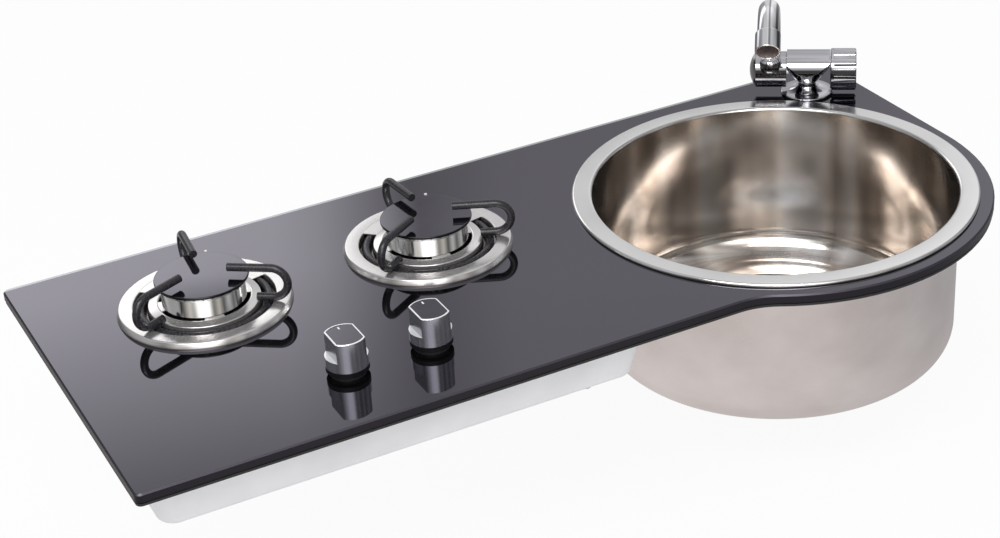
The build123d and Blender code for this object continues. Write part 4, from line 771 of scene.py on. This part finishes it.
# Black for the cap's edge, and as painted shade on the cup's wall below the island.
cap_edge_and_painted_shade = mottle(
    finish("cap_edge_and_painted_shade", (0.003, 0.003, 0.003), 0.0, 0.2),
    300, (0.002, 0.002, 0.002), (0.004, 0.004, 0.004), (0.15, 0.3),
)
cup_line = rounded(
    [(CUP_HOLE, CUP_FLOOR), (CUP_RADIUS, CUP_FLOOR), (CUP_RADIUS, CUP_TOP)], [3.0]
)
cup_line = np.vstack((cup_line[:-1], [(CUP_RADIUS, ISLAND_TOP + 0.2)], cup_line[-1:]))
head_line = np.array(
    [(HEAD_BORE, CUP_TOP - 6), (HEAD_NECK, CUP_TOP - 6), (HEAD_NECK, CUP_TOP),
     (HEAD_RADIUS, CUP_TOP), (HEAD_RADIUS, CAP_LOW - PORT_DEPTH), (HEAD_RADIUS, CAP_LOW),
     (HEAD_BORE, CAP_LOW)]
)
off_port = (np.arange(HEAD_TURNS) / HEAD_TURNS * PORTS + 0.5) % 1 - 0.5
cap_line = rounded(
    [(0, CAP_LOW), (CAP_RADIUS, CAP_LOW), (CAP_RADIUS, CAP_TOP), (0, CAP_TOP)], [0.9, 0.9]
)
for number, (centre, _) in BURNERS.items():
    # The cup's wall is painted dark below the island's top, as painted shade where the island
    # shades it, and the slots lower the head's upper edge.
    cup = skin(f"cup_{number}", lathe(sheet(cup_line, CUP_SHEET), (*centre, 0)), "panel",
               cup_steel)
    # Painted shade: the cup's faces below the island's top get the black material.
    recoat(cup, each_face(cup, "center")[:, 2] < ISLAND_TOP, cap_edge_and_painted_shade)
    stands_for(f"burner_cup_{number}")
    head_grid = lathe(head_line, (*centre, 0), turns=HEAD_TURNS)
    head_grid[np.abs(off_port) < PORT_SHARE, 5:, 2] = CAP_LOW - PORT_DEPTH
    head = skin(f"head_{number}", head_grid, "panel", head_alloy)
    stands_for(f"burner_head_{number}")
    cap = skin(f"cap_{number}", lathe(cap_line, (*centre, 0)), "panel", cap_enamel, ON_AXIS)
    recoat(cap, each_face(cap, "normal")[:, 2] < 0.8, cap_edge_and_painted_shade)
    stands_for(f"burner_cap_{number}")

# ---------------------------------------------------------------- igniters and flame probes
# A steel igniter in a glazed ceramic sleeve and a heat-darkened probe. Both stand upright
# through the drip ring's island, beside the cup.
POST_DISTANCE = 39.4
SLEEVE_RADIUS, SLEEVE_TOP, IGNITER_RADIUS, IGNITER_TOP = 2.4, GLASS + 23, 1.2, GLASS + 26
PROBE_RADIUS, PROBE_TOP = 1.9, GLASS + 20
ceramic = mottle(
    finish("ceramic", (0.85, 0.84, 0.8), 0.0, 0.3),
    300, (0.80, 0.79, 0.75), (0.88, 0.87, 0.83), (0.2, 0.35),
)
probe_steel = mottle(
    finish("probe_steel", (0.3, 0.28, 0.27), 1.0, 0.35),
    500, (0.10, 0.09, 0.09), (0.34, 0.31, 0.30), (0.3, 0.45),
)
igniter_line = rounded(
    [(0, CUP_FLOOR), (SLEEVE_RADIUS, CUP_FLOOR), (SLEEVE_RADIUS, SLEEVE_TOP),
     (IGNITER_RADIUS, SLEEVE_TOP), (IGNITER_RADIUS, IGNITER_TOP), (0, IGNITER_TOP)],
    [0.1, 0.8, 0.1, 0.4],
)
probe_line = rounded(
    [(0, CUP_FLOOR), (PROBE_RADIUS, CUP_FLOOR), (PROBE_RADIUS, PROBE_TOP), (0, PROBE_TOP)],
    [0.1, 1.5],
)
for number, (centre, _) in BURNERS.items():
    for piece, way, line, material, slot in (
        ("electrode", radians(65.0), igniter_line, ceramic, "ceramic"),
        ("flame_probe", radians(112.0), probe_line, probe_steel, "probe_steel"),
    ):
        place = (
            centre[0] + POST_DISTANCE * cos(way), centre[1] + POST_DISTANCE * sin(way), 0
        )
        post = skin(f"post_{piece}_{number}", lathe(line, place, turns=48), "panel", material,
                    ON_AXIS)
        stands_for(f"{piece}_{number}")

# ---------------------------------------------------------------- knobs
# Turned aluminium barrels with two flats that end on ledges, a glossy top plate with a white
# mark let in, and a black collar pressed on below. They push onto the valves' stems.
KNOBS = {1: (-239.5, -97.0), 2: (-172.5, -97.0)}
KNOB_TOP = GLASS + 31.5
KNOB_BASE = GLASS + 7.5
KNOB_RADIUS, FLAT_HALF, LEDGE = 15.95, 11.6, KNOB_TOP - 15.7
PLATE_RADIUS, PLATE_HALF, PLATE_THICKNESS = 14.6, 10.4, 1.2
COLLAR_BORE, COLLAR_RADIUS = 13.6, 16.1
FULL = 20  # half width beyond the radius: no flat there
knob_metal = mottle(
    finish("knob_metal", (0.52, 0.53, 0.57), 0.86, 0.2),
    14, (0.48, 0.49, 0.53), (0.56, 0.57, 0.61), (0.18, 0.22), detail=1.0,
)
bright_cut = mottle(
    finish("bright_cut", (0.95, 0.95, 0.96), 0.4, 0.2),
    200, (0.93, 0.93, 0.94), (0.97, 0.97, 0.98), (0.12, 0.2),
)
gloss_black = mottle(
    finish("gloss_black", (0.004, 0.004, 0.005), 0.0, 0.05, IOR=GLASS_IOR,
           Specular_Tint=GLASS_TINT),
    80, (0.003, 0.003, 0.004), (0.006, 0.005, 0.007), (0.04, 0.08),
)
mark_white = mottle(
    finish("mark_white", (0.9, 0.9, 0.9), 0.0, 0.5),
    900, (0.85, 0.85, 0.85), (0.93, 0.93, 0.93), (0.4, 0.6),
)


def flatted(rows, centre, turns=240):
    """Grid of a round bar with two flats, from rows of (radius, half width, height) in mm: at
    each height x = radius cos a held within the half width, y = radius sin a."""
    rows = np.array(rows, float)
    angle = np.linspace(0, 2 * pi, turns, endpoint=False)[:, None]
    across = np.clip(rows[:, 0] * np.cos(angle), -rows[:, 1], rows[:, 1])
    return np.stack(
        (
            centre[0] + across, centre[1] + rows[:, 0] * np.sin(angle), rows[:, 2] + 0 * angle
        ),
        axis=-1,
    )


barrel_rows = [
    (0, FULL, KNOB_BASE), (15.8, FULL, KNOB_BASE), (16.1, FULL, KNOB_BASE + 0.3),
    (KNOB_RADIUS, FULL, LEDGE - 0.3), (KNOB_RADIUS, 15.6, LEDGE), (KNOB_RADIUS, FLAT_HALF, LEDGE),
    (15.8, FLAT_HALF, KNOB_TOP - 0.3), (15.5, FLAT_HALF - 0.3, KNOB_TOP),
    (PLATE_RADIUS, PLATE_HALF, KNOB_TOP),
    (PLATE_RADIUS, PLATE_HALF, KNOB_TOP - PLATE_THICKNESS), (0, 0, KNOB_TOP - PLATE_THICKNESS),
]
plate_rows = [
    (0, 0, KNOB_TOP - PLATE_THICKNESS), (PLATE_RADIUS, PLATE_HALF, KNOB_TOP - PLATE_THICKNESS),
    (PLATE_RADIUS, PLATE_HALF, KNOB_TOP - 0.2), (0, 0, KNOB_TOP - 0.2),
]
mark_rows = [
    (0, 0, KNOB_TOP - 0.3), (1.7, 0.6, KNOB_TOP - 0.3), (1.7, 0.6, KNOB_TOP - 0.05),
    (0, 0, KNOB_TOP - 0.05),
]
collar_line = np.array(
    [(COLLAR_BORE, KNOB_BASE), (COLLAR_RADIUS, KNOB_BASE), (COLLAR_RADIUS, GLASS + 3.9),
     (COLLAR_RADIUS - 0.4, GLASS + 3.5), (COLLAR_BORE, GLASS + 3.5)]
)
for number, centre in KNOBS.items():
    knob = f"knob_{number}"
    barrel = skin(f"knob_shell_{number}", flatted(barrel_rows, centre), knob, knob_metal, ON_AXIS)
    recoat(barrel, each_face(barrel, "normal")[:, 2] > 0.6, bright_cut)
    stands_for(f"knob_barrel_{number}")
    plate = skin(f"knob_plate_{number}", flatted(plate_rows, centre), knob, gloss_black, ON_AXIS)
    stands_for(f"knob_insert_{number}")
    mark_place = (centre[0], centre[1] + PLATE_HALF)
    skin(f"knob_mark_{number}", flatted(mark_rows, mark_place, 48), knob, mark_white, ON_AXIS)
    collar = skin(f"knob_band_{number}", lathe(collar_line, (*centre, 0)), knob, matt_black)
    stands_for(f"knob_collar_{number}")

# ---------------------------------------------------------------- tap body
# A brass casting under mirror chrome: a lying barrel that narrows to a waist and flares onto a
# round foot. A backnut below the glass clamps it.
TAP = np.array((302.5, 119.0, GLASS + 22.0))
TAP_TURN = radians(-34.7)
ALONG = np.array((cos(TAP_TURN), sin(TAP_TURN), 0))  # from the spout to the handle
FORWARD = np.array((sin(TAP_TURN), -cos(TAP_TURN), 0))  # out over the bowl
UP = np.array((0, 0, 1.0))
BARREL, BARREL_LEFT, BARREL_RIGHT = 17.6, 17.8, 20.2
FOOT_RADIUS, FOOT_LOW, FOOT_TOP = 23, GLASS + 0.6, GLASS + 2.4
WAIST, WAIST_RISE, FLARE, SADDLE = 7.5, 7.0, 21.8, 27.5
FLARE_ROWS = 30


def chrome_with_painted_reflections(name, direction, tones):
    """Mirror chrome with painted reflections: bands of darker and brighter colour that follow how
    far
    the surface looks in a direction: 0 is straight away from it, 0.5 square to it and 1 straight
    towards it."""
    material = mottle(
        finish(name, (0.86, 0.86, 0.88), 1.0, 0.04),
        40, (0.84, 0.84, 0.86), (0.88, 0.88, 0.90), (0.03, 0.05),
    )
    tree, links, _ = opened(material)
    lean = tree.new("ShaderNodeVectorMath")
    lean.operation = "DOT_PRODUCT"
    lean.inputs[1].default_value = direction
    links.new(tree.new("ShaderNodeNewGeometry").outputs["Normal"], lean.inputs[0])
    return toned(material, ramp(
        tree, links, scaled(tree, links, lean.outputs["Value"], -1.0, 1.0),
        [(place, (tone, tone, tone * 1.03)) for place, tone in tones],
    ))


# Painted reflections: bands of tone by how far the surface looks up.
chrome = chrome_with_painted_reflections("chrome", UP, (
    (0.0, 0.3), (0.15, 0.8), (0.24, 0.55), (0.34, 0.40), (0.41, 0.12), (0.68, 0.10), (0.73, 0.22),
    (0.75, 1.0), (0.80, 1.0), (0.83, 0.62), (0.88, 0.95), (0.95, 0.85), (1.0, 0.55),
))
foot_line = rounded(
    [(0, FOOT_LOW), (FOOT_RADIUS, FOOT_LOW), (FOOT_RADIUS, FOOT_TOP), (0, FOOT_TOP)], [0.2, 0.8]
)
skin("tap_foot", lathe(foot_line, (*TAP[:2], 0)), "panel", chrome, ON_AXIS)

# Body, in level rows: a quarter ellipse for the flare, then a parabola over the height through
# the waist's radius, the barrel's at its axis and the saddle's at its top, held within the
# barrel's length and its width at that height.
flare_turn = np.linspace(0, pi / 2, FLARE_ROWS, endpoint=False)
height = np.concatenate((
    FOOT_TOP + WAIST_RISE * (1 - np.cos(flare_turn)),
    np.linspace(FOOT_TOP + WAIST_RISE, TAP[2], 40, endpoint=False),
    TAP[2] + BARREL * np.sin(np.linspace(0, pi / 2, 60)),
))
rise = height - TAP[2]
low, high = FOOT_TOP + WAIST_RISE - TAP[2], BARREL
cone = (
    WAIST * rise * (rise - high) / (low * (low - high))
    + BARREL * (rise - low) * (rise - high) / (-low * -high)
    + SADDLE * (rise - low) * rise / ((high - low) * high)
)
cone[:FLARE_ROWS] = FLARE - (FLARE - WAIST) * np.sin(flare_turn)
width = np.where(rise > 0, np.sqrt(np.clip(BARREL**2 - rise**2, 0, None)), BARREL)
angle = np.linspace(0, 2 * pi, 600, endpoint=False)[:, None]
length = np.where(np.cos(angle) < 0, BARREL_LEFT, BARREL_RIGHT)
reach = np.minimum(
    np.minimum(cone, length / np.maximum(np.abs(np.cos(angle)), 1e-6)),
    width / np.maximum(np.abs(np.sin(angle)), 1e-6),
)
reach[:, :FLARE_ROWS] = cone[:FLARE_ROWS]
body_grid = (
    np.array((*TAP[:2], 0))
    + (reach * np.cos(angle))[..., None] * ALONG
    + (reach * np.sin(angle))[..., None] * FORWARD
    + height[None, :, None] * UP
)
body = skin("tap_casting", body_grid, "panel", chrome, ON_AXIS, sharp=24.0)
stands_for("tap_body")
dress(brass, "tap_nut")
dress(bright_steel, "tap_washer")

# ---------------------------------------------------------------- spout
# An elbow with a domed end that turns on the barrel, a ball on its upper front, and a bent
# chromed tube with a thicker outlet pressed on.
ELBOW, ELBOW_LENGTH, DOME_RISE = 15.9, 32.6, 5.5
ELBOW_FACE = -BARREL_LEFT - 0.3
HUB = TAP + ALONG * (ELBOW_FACE - 14.4)
BALL = 10.0
SPOUT_RADIUS, ARCH = 9.2, 48.5
RISER_LOW, RISER_HIGH, ARCH_BASE = 8, 22, 24
OUTLET_RADIUS, OUTLET_BORE, OUTLET_LENGTH, BORE_END = 10.9, 9.3, 18.5, 3.5
DIP = radians(32.0)  # how far the outlet points below level
# Painted reflections and highlights: bands by how far the surface looks along the barrel, some
# brighter than the chrome's own colour.
spout_chrome = lift(chrome_with_painted_reflections("spout_chrome", ALONG, (
    (0.0, 0.1), (0.08, 0.5), (0.16, 0.85), (0.28, 0.75), (0.34, 1.6), (0.50, 1.6), (0.54, 0.3),
    (0.60, 0.5), (0.64, 1.6), (0.80, 1.6), (0.87, 0.2), (0.94, 0.2), (1.0, 0.8),
)), 0.42)
outlet_dark = mottle(
    finish("outlet_dark", (0.34, 0.27, 0.26), 0.2, 0.4),
    300, (0.30, 0.24, 0.23), (0.40, 0.33, 0.31), (0.35, 0.5),
)

# The dome is a sphere's cap over the elbow's end, its radius from the elbow's and the rise.
dome_radius = (ELBOW**2 + DOME_RISE**2) / (2 * DOME_RISE)
dome = np.linspace(np.arcsin(ELBOW / dome_radius), 0, 20)
dome = np.column_stack((
    dome_radius * np.sin(dome), ELBOW_FACE - ELBOW_LENGTH + dome_radius * (1 - np.cos(dome))
))
elbow_line = np.vstack(
    ([(0, ELBOW_FACE), (ELBOW - 0.4, ELBOW_FACE), (ELBOW, ELBOW_FACE - 0.4)], dome)
)
elbow = skin("tap_elbow", lathe(elbow_line, TAP, ALONG, UP), "spout", chrome, ON_AXIS)
stands_for("spout_elbow")
ball = np.linspace(0, pi, 60)
ball = BALL * np.column_stack((np.sin(ball), -np.cos(ball)))
skin("tap_knuckle", lathe(ball, HUB + 9.0 * FORWARD + 7.5 * UP), "spout", chrome, ON_AXIS)

# Tube: straight up from the elbow, then the arch down to its dip.
arch = np.linspace(pi, pi / 2 - DIP, 90)
spout_path = np.vstack((
    HUB + np.outer(np.linspace(RISER_LOW, RISER_HIGH, 6), UP),
    HUB + np.outer(ARCH + ARCH * np.cos(arch), FORWARD)
    + np.outer(ARCH_BASE + ARCH * np.sin(arch), UP),
))
spout = skin("tap_spout", tube(spout_path, SPOUT_RADIUS, ALONG, 96), "spout", spout_chrome, BAR)
stands_for("spout_tube")
outlet = FORWARD * cos(DIP) - UP * sin(DIP)
outlet_line = rounded(
    [(8.0, 0), (OUTLET_RADIUS, 0), (OUTLET_RADIUS, OUTLET_LENGTH),
     (OUTLET_BORE, OUTLET_LENGTH), (OUTLET_BORE, BORE_END), (0, BORE_END)],
    [1.2, 0.5, 0.5, 0.5],
)
nozzle = skin("tap_outlet", lathe(outlet_line, spout_path[-1], outlet, ALONG), "spout",
              spout_chrome, ON_AXIS)
middles = each_face(nozzle, "center") - spout_path[-1]
depth = middles @ outlet
off_axis = np.linalg.norm(middles - depth[:, None] * outlet, axis=1)
in_bore = (off_axis < OUTLET_BORE + 0.1) & (depth > BORE_END - 0.5)
recoat(nozzle, in_bore & (depth < OUTLET_LENGTH - 0.5), outlet_dark)
stands_for("spout_nozzle")

# ---------------------------------------------------------------- tap handle
# A chromed turning knob at the barrel's other end, with twelve flutes milled along it and a
# glossy black cap pressed into its end.
HANDLE, HANDLE_LENGTH, CAP_SEAT = 18.6, 22.6, 21.6
FLUTES, FLUTE, FLUTE_DEPTH = 12, 4.6, 0.9
FLUTED = slice(4, 7)  # rows beyond the plain rim
HANDLE_TURNS = 720
HANDLE_FACE = TAP + ALONG * (BARREL_RIGHT + 0.3)
handle_rows = np.array(
    [(0, 0), (HANDLE - 1, 0), (HANDLE, 1), (HANDLE, 2.9), (HANDLE, 3.1),
     (HANDLE, HANDLE_LENGTH - 1), (HANDLE - 1, HANDLE_LENGTH), (10.2, HANDLE_LENGTH),
     (10.2, CAP_SEAT), (0, CAP_SEAT)]
)
handle_grid = lathe(handle_rows, HANDLE_FACE, ALONG, UP, HANDLE_TURNS)

# Each flute is the arc of a circle outside the rim, by angle from the nearest flute's middle;
# the rows beyond the plain rim are drawn in to it.
flute_step = 2 * pi / FLUTES
away = ((np.arange(HANDLE_TURNS) / HANDLE_TURNS * FLUTES + 0.5) % 1 - 0.5) * flute_step
flute_centre = HANDLE + FLUTE - FLUTE_DEPTH
inside = np.clip(FLUTE**2 - (flute_centre * np.sin(away)) ** 2, 0, None)
fluted = np.where(inside > 0, flute_centre * np.cos(away) - np.sqrt(inside), HANDLE)
share = np.minimum(fluted[:, None] / handle_rows[FLUTED, 0], 1)[..., None]
on_axis = HANDLE_FACE + handle_rows[FLUTED, 1:] * ALONG
handle_grid[:, FLUTED] = on_axis + share * (handle_grid[:, FLUTED] - on_axis)
handle = skin("tap_grip", handle_grid, "handle", chrome, ON_AXIS)
stands_for("tap_handle")
button_line = np.array(
    [(0, CAP_SEAT), (10.0, CAP_SEAT), (10.0, HANDLE_LENGTH - 0.2), (9.8, HANDLE_LENGTH),
     (0, HANDLE_LENGTH)]
)
button = skin("tap_button", lathe(button_line, HANDLE_FACE, ALONG, UP, 96), "handle",
              gloss_black, ON_AXIS)
stands_for("handle_cap")
